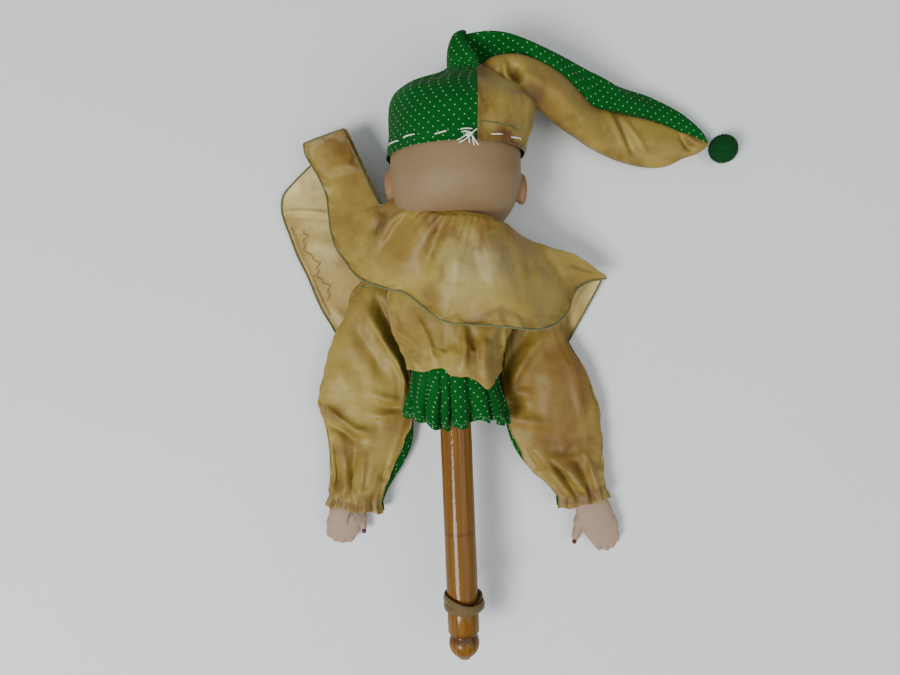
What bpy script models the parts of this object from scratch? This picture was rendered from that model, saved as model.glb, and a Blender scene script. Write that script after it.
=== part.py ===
"""A jester stick puppet: a bisque head and hands in a satin and cotton costume, on a turned handle.

It lies face down.  +Y runs from the handle up to the cap, +X is to the right seen from above,
and +Z is up.  The handle is straight along Y.  Sizes are written in millimetres and turned into
metres as each piece is made.
"""

import math

import bmesh
import bpy
from mathutils import Vector

MM = 0.001
GAP = 0.3                      # clearance between neighbouring pieces

# Handle: a 5/8 inch dowel with a ball turned on its foot
HANDLE_R = 7.95
HANDLE_Z = 28.0                # height of its axis
HANDLE_FOOT_Y = -163.0
HANDLE_TOP_Y = 80.0
GROOVE_R = 6.6
GROOVE_Y = -150.8
BALL_R = 7.7
BALL_Y = -155.0
FOOT_FLAT_R = 2.6

# Elastic band: one loop of round cord taken twice round the handle
BAND_Y = -134.5
BAND_CORD_R = 1.0
BAND_SPREAD = 4.2              # how far each turn wanders along the handle
BAND_SLACK = 1.6               # how far one turn stands off at the crossing

# Head: thin bisque, open at the neck
HEAD_WALL = 3.0
HEAD_X, HEAD_Z = 5.2, 33.5     # its middle, across and in height
NECK_X, NECK_Z, NECK_R = 2.0, 29.5, 15.0
NECK_END_Y = 42.0
EAR_LEFT_Y, EAR_RIGHT_Y = 78.0, 73.5

# Costume
CLOTH = 1.2                    # thickness the cloth solids are given
TORSO_X, TORSO_Z = 1.0, 24.0
WAIST_Y = -14.0
PEPLUM_END_Y = -43.5
COLLAR_CENTRE = (0.0, 52.0)
COLLAR_FRONT_INNER_R = 19.0
COLLAR_FRONT_R = 82.0
EDGING_R = 0.6
SLEEVE_FLOOR = 1.8             # underside of the sleeves
CUFF_HALF_Z = 7.0
SHOULDER = (38.0, 25.0)        # pivot of each arm, mirrored in X
WRIST_LEFT = (-55.0, -83.0)
WRIST_RIGHT = (67.5, -85.0)

# Cap and its tail
CAP_BRIM_Y = 90.0
CAP_CLOTH = 1.1
CAP_SEAM_BACK = 74.0           # degrees round from +X, where the two cloths meet behind
CAP_SEAM_FRONT = -80.0
TAIL_PIVOT = (42.0, 133.0)
TAIL_TWIST = (96.0, 104.0)
POMPOM_C = (149.5, 95.3, 8.2)
POMPOM_R = 8.0
POMPOM_PIVOT = (141.0, 97.6, 8.2)

COLOURS = {
    "varnished_wood": ((0.36, 0.13, 0.02), 0.30),
    "bisque": ((0.62, 0.44, 0.34), 0.75),
    "green_cotton": ((0.01, 0.19, 0.05), 0.85),
    "cream_satin": ((0.60, 0.45, 0.22), 0.42),
    "olive_thread": ((0.10, 0.12, 0.04), 0.80),
    "white_thread": ((0.75, 0.73, 0.66), 0.80),
    "elastic": ((0.20, 0.13, 0.04), 0.70),
    "wadding": ((0.70, 0.68, 0.60), 0.95),
    "cork": ((0.45, 0.30, 0.16), 0.90),
    "pompom_yarn": ((0.01, 0.12, 0.04), 0.95),
}


# ---------------------------------------------------------------- making pieces

def start_empty():
    for thing in list(bpy.data.objects):
        bpy.data.objects.remove(thing, do_unlink=True)
    for mesh in list(bpy.data.meshes):
        bpy.data.meshes.remove(mesh)


def material(name):
    found = bpy.data.materials.get(name)
    if found:
        return found
    colour, roughness = COLOURS[name]
    made = bpy.data.materials.new(name)
    made.use_nodes = True
    shader = made.node_tree.nodes["Principled BSDF"]
    shader.inputs["Base Color"].default_value = (*colour, 1.0)
    shader.inputs["Roughness"].default_value = roughness
    made.diffuse_color = (*colour, 1.0)
    return made


def pivot_empty(name, x, y, z):
    empty = bpy.data.objects.new(name, None)
    empty.location = (x * MM, y * MM, z * MM)
    bpy.context.collection.objects.link(empty)
    bpy.context.view_layer.update()
    return empty


def add_piece(name, verts, faces, slot, parent=None, smooth=True):
    """Make one object from points in millimetres, with its faces turned outwards."""
    bm = bmesh.new()
    made = [bm.verts.new(Vector(v) * MM) for v in verts]
    for face in faces:
        bm.faces.new([made[i] for i in face])
    bmesh.ops.recalc_face_normals(bm, faces=bm.faces)
    mesh = bpy.data.meshes.new(name)
    bm.to_mesh(mesh)
    bm.free()
    if smooth:
        mesh.shade_smooth()
        mesh.set_sharp_from_angle(angle=math.radians(35))
    mesh.materials.append(material(slot))
    piece = bpy.data.objects.new(name, mesh)
    bpy.context.collection.objects.link(piece)
    if parent:
        piece.parent = parent
        piece.matrix_parent_inverse = parent.matrix_world.inverted()
    return piece


def grid_faces(rows, cols, start=0, wrap=False, flip=False):
    faces = []
    for i in range(rows - 1):
        for j in range(cols if wrap else cols - 1):
            k = (j + 1) % cols
            quad = [start + i * cols + j, start + i * cols + k,
                    start + (i + 1) * cols + k, start + (i + 1) * cols + j]
            faces.append(quad[::-1] if flip else quad)
    return faces


def shell_patch(name, outer, inner, slot, parent=None):
    """A curved panel: two matching grids of points, joined round the edge."""
    rows, cols = len(outer), len(outer[0])
    verts = [p for row in outer for p in row] + [p for row in inner for p in row]
    n = rows * cols
    faces = grid_faces(rows, cols) + grid_faces(rows, cols, n, flip=True)
    edge = [(0, j) for j in range(cols)]
    edge += [(i, cols - 1) for i in range(1, rows)]
    edge += [(rows - 1, j) for j in range(cols - 2, -1, -1)]
    edge += [(i, 0) for i in range(rows - 2, 0, -1)]
    for a, b in zip(edge, edge[1:] + edge[:1]):
        ia, ib = a[0] * cols + a[1], b[0] * cols + b[1]
        faces.append([ib, ia, ia + n, ib + n])
    return add_piece(name, verts, faces, slot, parent)


def shell_tube(name, outer, inner, slot, parent=None):
    """A tube open at both ends: matching rings of points, outside and inside."""
    rows, cols = len(outer), len(outer[0])
    verts = [p for row in outer for p in row] + [p for row in inner for p in row]
    n = rows * cols
    faces = grid_faces(rows, cols, wrap=True) + grid_faces(rows, cols, n, True, True)
    for i in (0, rows - 1):
        for j in range(cols):
            k = (j + 1) % cols
            a, b = i * cols + j, i * cols + k
            faces.append([a, b, b + n, a + n])
    return add_piece(name, verts, faces, slot, parent)


def loft(name, rings, slot, parent=None):
    """A solid through closed rings of points, capped at both ends."""
    rows, cols = len(rings), len(rings[0])
    verts = [p for ring in rings for p in ring]
    faces = grid_faces(rows, cols, wrap=True)
    faces.append(list(range(cols))[::-1])
    faces.append([(rows - 1) * cols + j for j in range(cols)])
    return add_piece(name, verts, faces, slot, parent)


def closed_tube(name, path, radius, sides, slot, parent=None):
    """A tube of round section along a closed path."""
    n = len(path)
    verts = []
    for i in range(n):
        here = Vector(path[i])
        along = (Vector(path[(i + 1) % n]) - Vector(path[i - 1])).normalized()
        middle = sum((Vector(p) for p in path), Vector()) / n
        out = here - middle
        out = (out - along * out.dot(along)).normalized()
        side = along.cross(out)
        for j in range(sides):
            a = 2 * math.pi * j / sides
            verts.append(here + (out * math.cos(a) + side * math.sin(a)) * radius)
    faces = []
    for i in range(n):
        for j in range(sides):
            k, m = (j + 1) % sides, (i + 1) % n
            faces.append([i * sides + j, i * sides + k, m * sides + k, m * sides + j])
    return add_piece(name, verts, faces, slot, parent)


def thread(name, points, radius, slot, parent=None):
    """A thread along an open path, as a curve with filled ends."""
    curve = bpy.data.curves.new(name, "CURVE")
    curve.dimensions = "3D"
    curve.bevel_depth = radius * MM
    curve.bevel_resolution = 1
    curve.use_fill_caps = True
    line = curve.splines.new("POLY")
    line.points.add(len(points) - 1)
    for spot, p in zip(line.points, points):
        spot.co = (p[0] * MM, p[1] * MM, p[2] * MM, 1.0)
    curve.materials.append(material(slot))
    piece = bpy.data.objects.new(name, curve)
    bpy.context.collection.objects.link(piece)
    if parent:
        piece.parent = parent
        piece.matrix_parent_inverse = parent.matrix_world.inverted()
    return piece


def ellipse_ring(cx, y, cz, half_x, half_z, sides, phase=0.0):
    turns = [2 * math.pi * j / sides + phase for j in range(sides)]
    return [(cx + half_x * math.cos(a), y, cz + half_z * math.sin(a)) for a in turns]


def ellipsoid(name, centre, half, slot, turn=0.0, sides=14, rows=8, parent=None):
    """An ellipsoid, turned by so many degrees about Z."""
    c, s = math.cos(math.radians(turn)), math.sin(math.radians(turn))
    rings = []
    for i in range(1, rows):
        b = math.pi * i / rows
        ring = []
        for j in range(sides):
            a = 2 * math.pi * j / sides
            x = half[0] * math.sin(b) * math.cos(a)
            y = -half[1] * math.cos(b)
            z = half[2] * math.sin(b) * math.sin(a)
            ring.append((centre[0] + x * c - y * s, centre[1] + x * s + y * c, centre[2] + z))
        rings.append(ring)
    verts = [p for ring in rings for p in ring]
    faces = grid_faces(rows - 1, sides, wrap=True)
    for sign, start in ((-1, 0), (1, (rows - 2) * sides)):
        pole = len(verts)
        y = half[1] * sign
        verts.append((centre[0] - y * s, centre[1] + y * c, centre[2]))
        for j in range(sides):
            faces.append([pole, start + j, start + (j + 1) % sides])
    return add_piece(name, verts, faces, slot, parent)


def unite(piece, other):
    """Add a helper solid to a piece with a union, and hide the helper."""
    join = piece.modifiers.new(other.name, "BOOLEAN")
    join.operation = "UNION"
    join.solver = "EXACT"
    join.object = other
    other.hide_render = True
    other.display_type = "WIRE"


def smooth_value(knots, t):
    """Read a smooth curve through (t, value) knots, level at every knot's neighbours' slope."""
    if t <= knots[0][0]:
        return knots[0][1]
    for k in range(len(knots) - 1):
        t0, v0 = knots[k]
        t1, v1 = knots[k + 1]
        if t <= t1:
            before = knots[max(k - 1, 0)]
            after = knots[min(k + 2, len(knots) - 1)]
            m0 = (v1 - before[1]) / max(t1 - before[0], 1e-9) * (t1 - t0)
            m1 = (after[1] - v0) / max(after[0] - t0, 1e-9) * (t1 - t0)
            u = (t - t0) / (t1 - t0)
            return ((2 * u**3 - 3 * u**2 + 1) * v0 + (u**3 - 2 * u**2 + u) * m0
                    + (3 * u**2 - 2 * u**3) * v1 + (u**3 - u**2) * m1)
    return knots[-1][1]


# ---------------------------------------------------------------- handle and band

def make_handle():
    """A dowel turned from one end: parting flat, ball, groove, then the straight grip."""
    profile = [(HANDLE_FOOT_Y, FOOT_FLAT_R)]
    reach = BALL_Y - HANDLE_FOOT_Y
    for step in range(1, 6):
        a = math.radians(18 * step)
        profile.append((BALL_Y - reach * math.cos(a) * 0.93, BALL_R * math.sin(a) ** 0.8))
    profile.append((GROOVE_Y - 1.6, GROOVE_R + 0.6))
    profile.append((GROOVE_Y, GROOVE_R))
    profile.append((GROOVE_Y + 1.2, HANDLE_R - 0.5))
    profile.append((GROOVE_Y + 2.4, HANDLE_R))
    profile.append((HANDLE_TOP_Y - 1.0, HANDLE_R))
    profile.append((HANDLE_TOP_Y, HANDLE_R - 1.0))
    rings = [ellipse_ring(0, y, HANDLE_Z, r, r, 20) for y, r in profile]
    return loft("handle", rings, "varnished_wood")


def make_band(parent):
    """Two snug turns that cross once, where the outer turn rides over the inner one."""
    snug = HANDLE_R + GAP + BAND_CORD_R
    path = []
    steps = 44
    for i in range(steps):
        a = 4 * math.pi * i / steps
        lift = max(0.0, -math.sin(a / 2)) ** 4 * (2 * BAND_CORD_R + BAND_SLACK)
        r = snug + lift
        y = BAND_Y + BAND_SPREAD * math.cos(a / 2)
        path.append((-r * math.cos(a), y, HANDLE_Z - r * math.sin(a)))
    return closed_tube("elastic_band", path, BAND_CORD_R, 6, "elastic", parent)


# ---------------------------------------------------------------- head

# (y, half width, half depth) from the end of the neck to the crown; full cheeks, nape set in
HEAD_PROFILE = [(NECK_END_Y, NECK_R, NECK_R), (48.5, NECK_R, NECK_R), (52, 20.0, 16.8),
                (56, 24.6, 20.2), (61, 28.2, 24.6), (67, 30.6, 28.2), (75, 32.0, 30.6),
                (84, 32.5, 31.5), (93, 32.5, 31.5), (102, 31.0, 29.8), (110, 27.6, 26.6),
                (117, 21.8, 21.0), (122, 14.6, 14.0), (125, 7.8, 7.5)]


def head_centre(y):
    """The head sits a little off the neck's own centre."""
    blend = smooth_value([(48.5, 0.0), (56, 0.35), (66, 0.8), (80, 1.0)], y)
    return NECK_X + (HEAD_X - NECK_X) * blend, NECK_Z + (HEAD_Z - NECK_Z) * blend


def make_head():
    sides = 20
    outer, inner = [], []
    for y, hx, hz in HEAD_PROFILE:
        cx, cz = head_centre(y)
        outer.append(ellipse_ring(cx, y, cz, hx, hz, sides))
    for y, hx, hz in HEAD_PROFILE[:-2]:
        cx, cz = head_centre(y)
        inner.append(ellipse_ring(cx, y, cz, hx - HEAD_WALL, hz - HEAD_WALL, sides))
    verts = [p for ring in outer for p in ring]
    faces = grid_faces(len(outer), sides, wrap=True)
    faces.append([(len(outer) - 1) * sides + j for j in range(sides)])
    start = len(verts)
    verts += [p for ring in inner for p in ring]
    faces += grid_faces(len(inner), sides, start, True, True)
    faces.append([start + (len(inner) - 1) * sides + j for j in range(sides)][::-1])
    for j in range(sides):
        k = (j + 1) % sides
        faces.append([j, k, start + k, start + j])
    head = add_piece("head", verts, faces, "bisque")
    left = ellipsoid("ear_left_form", (HEAD_X - 30.5, EAR_LEFT_Y, 30.0), (3.6, 8.0, 4.6), "bisque")
    right = ellipsoid("ear_right_form", (HEAD_X + 30.3, EAR_RIGHT_Y, 30.0), (3.6, 8.0, 4.6), "bisque")
    nose = ellipsoid("nose_form", (HEAD_X, 83.0, 4.6), (3.2, 5.0, 4.0), "bisque")
    for form in (left, right, nose):
        unite(head, form)
    return head


def make_neck_plug():
    """A cork ring between the bisque neck and the dowel, with its hole off centre."""
    outer, inner = [], []
    for y in (NECK_END_Y + 0.5, NECK_END_Y + 6.2):
        cx, cz = head_centre(y)
        r = NECK_R - HEAD_WALL - 2 * GAP
        outer.append(ellipse_ring(cx, y, cz, r, r, 20))
        inner.append(ellipse_ring(0, y, HANDLE_Z, HANDLE_R + GAP, HANDLE_R + GAP, 20))
    return shell_tube("neck_plug", outer, inner, "cork")


def make_neck_thread():
    path = ellipse_ring(NECK_X, 45.5, NECK_Z, NECK_R + 1.2, NECK_R + 1.2, 24)
    return closed_tube("neck_thread", path, 0.6, 6, "white_thread")


# ---------------------------------------------------------------- torso

TORSO_STATIONS = [(WAIST_Y, 21, 19), (0, 27, 20.5), (12, 30, 21), (25, 31, 21),
                  (35, 27, 20), (41.4, 21, 18)]


def half_tube(name, stations, from_deg, to_deg, steps, thickness, slot, parent=None):
    """A panel round part of a tube; stations are (y, centre x, centre z, half x, half z)."""
    outer, inner = [], []
    for y, cx, cz, hx, hz in stations:
        row_out, row_in = [], []
        for j in range(steps + 1):
            a = math.radians(from_deg + (to_deg - from_deg) * j / steps)
            row_out.append((cx + hx * math.cos(a), y, cz + hz * math.sin(a)))
            row_in.append((cx + (hx - thickness) * math.cos(a), y,
                           cz + (hz - thickness) * math.sin(a)))
        outer.append(row_out)
        inner.append(row_in)
    return shell_patch(name, outer, inner, slot, parent)


def make_torso():
    stations = [(y, TORSO_X, TORSO_Z, hx, hz) for y, hx, hz in TORSO_STATIONS]
    half_tube("torso_back", stations, 1.5, 178.5, 12, CLOTH, "cream_satin")
    half_tube("torso_front", stations, -178.5, -1.5, 12, CLOTH, "green_cotton")
    outer, inner = [], []
    for y, hx, hz in ((-8, 17, 14), (6, 24, 17.5), (26, 25, 17.5), (38, 17, 14)):
        outer.append(ellipse_ring(TORSO_X, y, 25, hx, hz, 18))
        inner.append(ellipse_ring(0, y, HANDLE_Z, HANDLE_R + GAP, HANDLE_R + GAP, 18))
    shell_tube("body_pad", outer, inner, "wadding")
    waist = ellipse_ring(TORSO_X, WAIST_Y - 1.6, TORSO_Z, 20, 18.2, 24)
    closed_tube("waist_cord", waist, 0.9, 6, "white_thread")


def make_peplum():
    """The gathered frill below the waist, open at both ends round the handle."""
    outer, inner = [], []
    levels = [(WAIST_Y - 3.2, 20.5, 24.0, 19.3), (-25, 23.5, 22.5, 19.3),
              (-34, 25.0, 20.8, 18.7), (PEPLUM_END_Y, 25.5, 19.8, 18.1)]
    for y, hx, cz, hz in levels:
        outer.append(ellipse_ring(TORSO_X, y, cz, hx, hz, 22))
        inner.append(ellipse_ring(TORSO_X, y, cz, hx - CLOTH, hz - CLOTH, 22))
    shell_tube("peplum", outer, inner, "green_cotton")


# ---------------------------------------------------------------- collar

def collar_front_radius(deg):
    """Outer radius of the lower collar layer, widest at its left point."""
    point = 11.0 * math.exp(-((deg - 163.0) / 13.0) ** 2)
    wave = 2.5 * math.cos(math.radians(deg - 300.0) * 2.2)
    return COLLAR_FRONT_R + point + wave


COLLAR_FRONT_FROM, COLLAR_FRONT_TO = 131.0, 343.0
COLLAR_FRONT_STEPS = 24


def make_collar_front():
    """The layer under the body, spread flat on the surface."""
    top, bottom, hem = [], [], []
    cx, cy = COLLAR_CENTRE
    for i in range(COLLAR_FRONT_STEPS + 1):
        deg = COLLAR_FRONT_FROM + (COLLAR_FRONT_TO - COLLAR_FRONT_FROM) * i / COLLAR_FRONT_STEPS
        c, s = math.cos(math.radians(deg)), math.sin(math.radians(deg))
        far = collar_front_radius(deg)
        row_top, row_bottom = [], []
        for r in (COLLAR_FRONT_INNER_R, 48.0, far):
            row_top.append((cx + r * c, cy + r * s, CLOTH))
            row_bottom.append((cx + r * c, cy + r * s, 0.0))
        top.append(row_top)
        bottom.append(row_bottom)
        edge = far + EDGING_R + GAP + 0.1
        hem.append((cx + edge * c, cy + edge * s, 0.75))
    shell_patch("collar_front", top, bottom, "cream_satin")
    thread("collar_front_edging", hem, EDGING_R, "olive_thread")


# The upper layer from its left point, over the nape, to its right point.
# Each row is the gathered edge (x, y, z) and then the hem (x, y, z).
COLLAR_BACK_ROWS = [
    ((-51, 110, 20), (-55, 111, 20)),
    ((-44, 90, 25), (-74, 103, 17.5)),
    ((-37, 72, 31), (-66, 86, 17)),
    ((-29, 68, 38), (-62, 62, 17)),
    ((-18, 61, 52), (-55, 43, 21)),
    ((-8, 58, 57), (-40, 27, 34)),
    ((2, 56, 57.5), (-22, 22, 47)),
    ((11, 55, 57), (-7, 9, 52)),
    ((22, 54, 54), (8, 6, 54)),
    ((31, 52, 47), (24, 4, 53)),
    ((40, 47, 39), (45, 2, 44)),
    ((54, 43, 31), (60, 12, 30)),
    ((70, 39, 23.5), (70, 25, 20.5)),
    ((80, 30, 20), (83, 27, 18.5)),
]
COLLAR_BACK_STEPS = 26


def collar_back_point(t, across):
    """A point on the upper layer, t from 0 at the left tip to 1 at the right tip."""
    knots = [i / (len(COLLAR_BACK_ROWS) - 1) for i in range(len(COLLAR_BACK_ROWS))]
    spot = []
    for axis in range(3):
        inner = smooth_value([(k, r[0][axis]) for k, r in zip(knots, COLLAR_BACK_ROWS)], t)
        outer = smooth_value([(k, r[1][axis]) for k, r in zip(knots, COLLAR_BACK_ROWS)], t)
        spot.append(inner + (outer - inner) * across)
    spot[2] += 2.0 * math.sin(math.pi * across)
    return Vector(spot)


def make_collar_back():
    top, bottom, hem = [], [], []
    for i in range(COLLAR_BACK_STEPS + 1):
        t = i / COLLAR_BACK_STEPS
        row = [collar_back_point(t, u) for u in (0.0, 0.33, 0.67, 1.0)]
        top.append([tuple(p) for p in row])
        bottom.append([(p.x, p.y, p.z - CLOTH) for p in row])
        step = 0.5 / COLLAR_BACK_STEPS
        run = collar_back_point(min(t + step, 1), 1) - collar_back_point(max(t - step, 0), 1)
        away = row[-1] - row[-2]
        away = (away - run * (away.dot(run) / run.dot(run))).normalized()
        spot = row[-1] + away * (EDGING_R + GAP + 0.5)
        hem.append((spot.x, spot.y, spot.z - CLOTH / 2))
    shell_patch("collar_back", top, bottom, "cream_satin")
    thread("collar_back_edging", hem, EDGING_R, "olive_thread")


# ---------------------------------------------------------------- sleeves and hands

# (y, centre x, half width, half height) from the shoulder down to the cuff's frill
SLEEVE_LEFT = [(36.4, -38, 3.0, 2.6), (33, -38, 8.6, 5.0), (25, -38, 12.0, 6.4),
               (12, -41, 15.0, 6.7), (-1, -45, 18.5, 6.7), (-16, -48, 22.0, 6.7),
               (-31, -49, 24.0, 6.7), (-53, -48, 20.6, 6.7), (-69, -51, 17.0, 6.8),
               (-80, -54.5, 12.6, CUFF_HALF_Z), (-86, -55.5, 14.6, CUFF_HALF_Z)]
SLEEVE_RIGHT = [(36.4, 38, 3.0, 2.6), (33, 38, 8.6, 5.0), (25, 38, 12.0, 6.4),
                (12, 40.5, 13.6, 6.7), (-3, 44, 16.0, 6.7), (-20, 48.5, 20.6, 6.7),
                (-38, 51.5, 24.0, 6.7), (-54, 53.0, 23.0, 6.7), (-70, 57.5, 19.0, 6.8),
                (-82, 66.0, 12.0, CUFF_HALF_Z), (-88, 67.5, 12.6, CUFF_HALF_Z)]


def make_sleeve(side, rows, pivot):
    stations = [(y, cx, SLEEVE_FLOOR + hz, hx, hz) for y, cx, hx, hz in rows]
    half_tube(f"sleeve_back_{side}", stations, 2.5, 177.5, 10, CLOTH, "cream_satin", pivot)
    half_tube(f"sleeve_front_{side}", stations, -177.5, -2.5, 10, CLOTH, "green_cotton", pivot)
    y, cx, cz, hx, hz = stations[-2]
    inset = CLOTH + GAP + 0.6
    path = ellipse_ring(cx, y, cz, hx - inset, hz - inset, 20)
    closed_tube(f"cuff_elastic_{side}", path, 0.5, 6, "white_thread", pivot)


def make_hand(side, wrist, reach, aim_deg, thumb_side, pivot):
    """Forearm stub, wrist, palm, closed fingers and a thumb, as one bisque casting."""
    a = math.radians(aim_deg)
    along = Vector((math.sin(a), -math.cos(a), 0))
    across = Vector((math.cos(a), math.sin(a), 0))
    start = Vector((wrist[0], wrist[1], 0))
    cz = SLEEVE_FLOOR + CUFF_HALF_Z
    long = max(1.0, reach / 30.0)
    # distance along, half width, half thickness, height of centre
    levels = [(-15, 4.2, 3.0, cz), (-13.5, 5.0, 3.6, cz), (-3.0, 4.8, 3.5, cz), (-1.5, 4.0, 3.0, cz),
              (0.0, 4.4, 3.3, cz), (5.0 * long, 5.4, 3.5, 8.0), (10.0 * long, 8.2, 3.6, 6.6),
              (15.0 * long, 9.0, 3.5, 5.6),
              (reach * 0.78, 8.0, 3.0, 4.6), (reach * 0.93, 6.0, 2.4, 4.0), (reach, 3.2, 1.4, 3.6)]
    rings = []
    for d, hx, hz, z in levels:
        ring = []
        for j in range(14):
            b = 2 * math.pi * j / 14
            p = start + along * d + across * (hx * math.cos(b))
            ring.append((p.x, p.y, z + hz * math.sin(b)))
        rings.append(ring)
    hand = loft(f"hand_{side}", rings, "bisque", pivot)
    root = start + along * (reach * 0.51) + across * (thumb_side * 8.2)
    thumb = ellipsoid(f"thumb_{side}_form", (root.x, root.y, 5.0), (2.9, 8.6, 2.7), "bisque",
                      turn=aim_deg + thumb_side * 16, sides=12, rows=8, parent=pivot)
    unite(hand, thumb)
    ring = []
    for j in range(18):
        b = 2 * math.pi * j / 18
        p = start + along * -1.5 + across * ((4.0 + GAP + 0.55) * math.cos(b))
        ring.append((p.x, p.y, cz + (3.0 + GAP + 0.55) * math.sin(b)))
    closed_tube(f"wrist_tie_{side}", ring, 0.45, 6, "olive_thread", pivot)


def make_arms():
    for side, rows, wrist, sign in (("left", SLEEVE_LEFT, WRIST_LEFT, -1),
                                    ("right", SLEEVE_RIGHT, WRIST_RIGHT, 1)):
        shoulder = pivot_empty(f"shoulder_axis_{side}", sign * SHOULDER[0], SHOULDER[1], 8.5)
        wrist_axis = pivot_empty(f"wrist_axis_{side}", wrist[0], wrist[1], 8.0)
        wrist_axis.parent = shoulder
        wrist_axis.matrix_parent_inverse = shoulder.matrix_world.inverted()
        bpy.context.view_layer.update()
        make_sleeve(side, rows, shoulder)
        if side == "left":
            make_hand(side, wrist, 27.5, -17.0, 1, wrist_axis)
        else:
            make_hand(side, wrist, 35.5, 22.0, -1, wrist_axis)


# ---------------------------------------------------------------- cap

CAP_STATIONS = [(CAP_BRIM_Y, 5.3, 33.5, 34.3, 33.3), (100, 5.5, 33.5, 34.3, 33.0),
                (110, 6.2, 33.6, 33.2, 31.4), (117, 7.2, 34.0, 29.6, 27.0),
                (121.5, 8.4, 34.4, 24.4, 21.6), (125.5, 10.0, 35.2, 18.6, 15.8),
                (128.0, 11.5, 36.0, 13.5, 10.5)]


def make_cap():
    half_tube("cap_green", CAP_STATIONS, CAP_SEAM_BACK + 0.6, CAP_SEAM_FRONT + 359.4, 18,
              CAP_CLOTH, "green_cotton")
    half_tube("cap_cream", CAP_STATIONS, CAP_SEAM_FRONT + 0.6, CAP_SEAM_BACK - 0.6, 14,
              CAP_CLOTH, "cream_satin")
    peak = []
    for y, cx, hx, cz, hz in ((128.6, 12.5, 12.4, 37.5, 9.0), (134, 14.0, 11.0, 39.0, 9.0),
                              (141, 16.0, 9.6, 39.5, 8.0), (146, 17.5, 8.6, 39.5, 6.5),
                              (148.6, 18.5, 6.0, 39.5, 4.0)):
        peak.append(ellipse_ring(cx, y, cz, hx, hz, 14))
    loft("cap_peak", peak, "green_cotton")
    basting, knot = [], []
    y, cx, cz, hx, hz = CAP_STATIONS[0]
    out = 0.45 + GAP
    for i in range(19):
        a = math.radians(168 - 150 * i / 18)
        basting.append((cx + (hx + out) * math.cos(a), y + 2.6, cz + (hz + out) * math.sin(a)))
    thread("brim_basting", basting, 0.4, "white_thread")
    a = math.radians(CAP_SEAM_BACK)
    x, z = cx + (hx + 2.4) * math.cos(a), cz + (hz + 2.4) * math.sin(a)
    for i in range(7):
        knot.append((x - 4.5 + 1.5 * i, y - 1.0 + 1.4 * math.cos(i * 1.3), z + 0.3 * math.sin(i)))
    thread("basting_knot", knot, 0.45, "white_thread")


def strip(name, rows, slot, parent):
    """A flattened length of doubled cloth; rows are the two edges (x, y) with bottom and top z."""
    rings = []
    for (ax, ay), (bx, by), low, high in rows:
        mid = (low + high) / 2
        ring = [(ax, ay, mid)]
        for u, z in ((0.22, high - 0.4), (0.5, high), (0.78, high - 0.4)):
            ring.append((ax + (bx - ax) * u, ay + (by - ay) * u, z))
        ring.append((bx, by, mid))
        for u, z in ((0.78, low + 0.4), (0.5, low), (0.22, low + 0.4)):
            ring.append((ax + (bx - ax) * u, ay + (by - ay) * u, z))
        rings.append(ring)
    return loft(name, rings, slot, parent)


def make_tail():
    """Green strip above and cream leaf below, in two lengths that meet at the twist."""
    root = pivot_empty("tail_root_axis", TAIL_PIVOT[0], TAIL_PIVOT[1], 36)
    tip = pivot_empty("tail_tip_axis", TAIL_TWIST[0], TAIL_TWIST[1], 12)
    tip.parent = root
    tip.matrix_parent_inverse = root.matrix_world.inverted()
    bpy.context.view_layer.update()
    strip("tail_root_green", [((33, 142), (31, 134), 34, 40), ((42, 147), (41, 135.5), 30, 39),
                              ((54, 145), (51, 131), 26, 36), ((66, 140), (62, 125), 21, 31),
                              ((74, 136), (71, 120), 17, 27)], "green_cotton", root)
    strip("tail_root_cream", [((31, 133), (33, 124.5), 33, 40), ((41, 134.7), (42, 119.5), 29, 40),
                              ((50.6, 130), (49, 117), 24, 37), ((61.5, 124), (56, 111), 18, 31),
                              ((70.5, 119), (66, 105), 13, 25), ((76, 115), (74, 101), 11, 21)],
          "cream_satin", root)
    strip("tail_tip_green", [((88, 119), (86, 113.5), 12, 19), ((94, 125), (93, 113.5), 10, 19),
                             ((105, 124.5), (105, 111.5), 7, 15), ((118, 119), (118, 109), 5, 12),
                             ((130, 112.5), (129, 105.5), 4, 10), ((138, 104.5), (137, 101), 4.5, 9)],
          "green_cotton", tip)
    strip("tail_tip_cream", [((84.5, 110.5), (85.5, 100), 9, 17), ((92, 112.6), (94, 90), 5, 15),
                             ((105, 110.6), (108, 86.5), 2.5, 11), ((118, 108), (119, 87), 2, 9),
                             ((129, 104.6), (129, 91.5), 2.5, 8.5), ((137, 100.2), (136.5, 94), 4, 8.5)],
          "cream_satin", tip)
    ball = pivot_empty("pompom_axis", *POMPOM_PIVOT)
    ball.parent = tip
    ball.matrix_parent_inverse = tip.matrix_world.inverted()
    bpy.context.view_layer.update()
    ellipsoid("pompom", POMPOM_C, (POMPOM_R,) * 3, "pompom_yarn", sides=16, rows=10, parent=ball)
    thread("pompom_thread", [(138.4, 98.2, 8.2), (139.8, 97.9, 8.3), (141.2, 97.6, 8.2)],
           0.4, "white_thread", ball)


# ---------------------------------------------------------------- the whole puppet

start_empty()
make_handle()
band_axis = pivot_empty("band_axis", 0, BAND_Y, HANDLE_Z)
make_band(band_axis)
make_head()
make_neck_plug()
make_neck_thread()
make_torso()
make_peplum()
make_collar_front()
make_collar_back()
make_arms()
make_cap()
make_tail()
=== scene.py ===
# %% [markdown]
# # A jester stick puppet, face down
#
# The puppet is a bisque porcelain head and two bisque hands, sewn into a costume of two cloths:
# tea-stained cream satin and green pin-dot cotton. A varnished dowel carries the head. The packed
# CAD model is the frame: it says where each piece is and how it moves. This script gives each piece
# its real surface. Sizes are in millimetres until a mesh is made.

# %% Load the frame and measure it
import math

import bmesh
import bpy
import numpy as np
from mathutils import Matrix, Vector, noise


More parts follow.
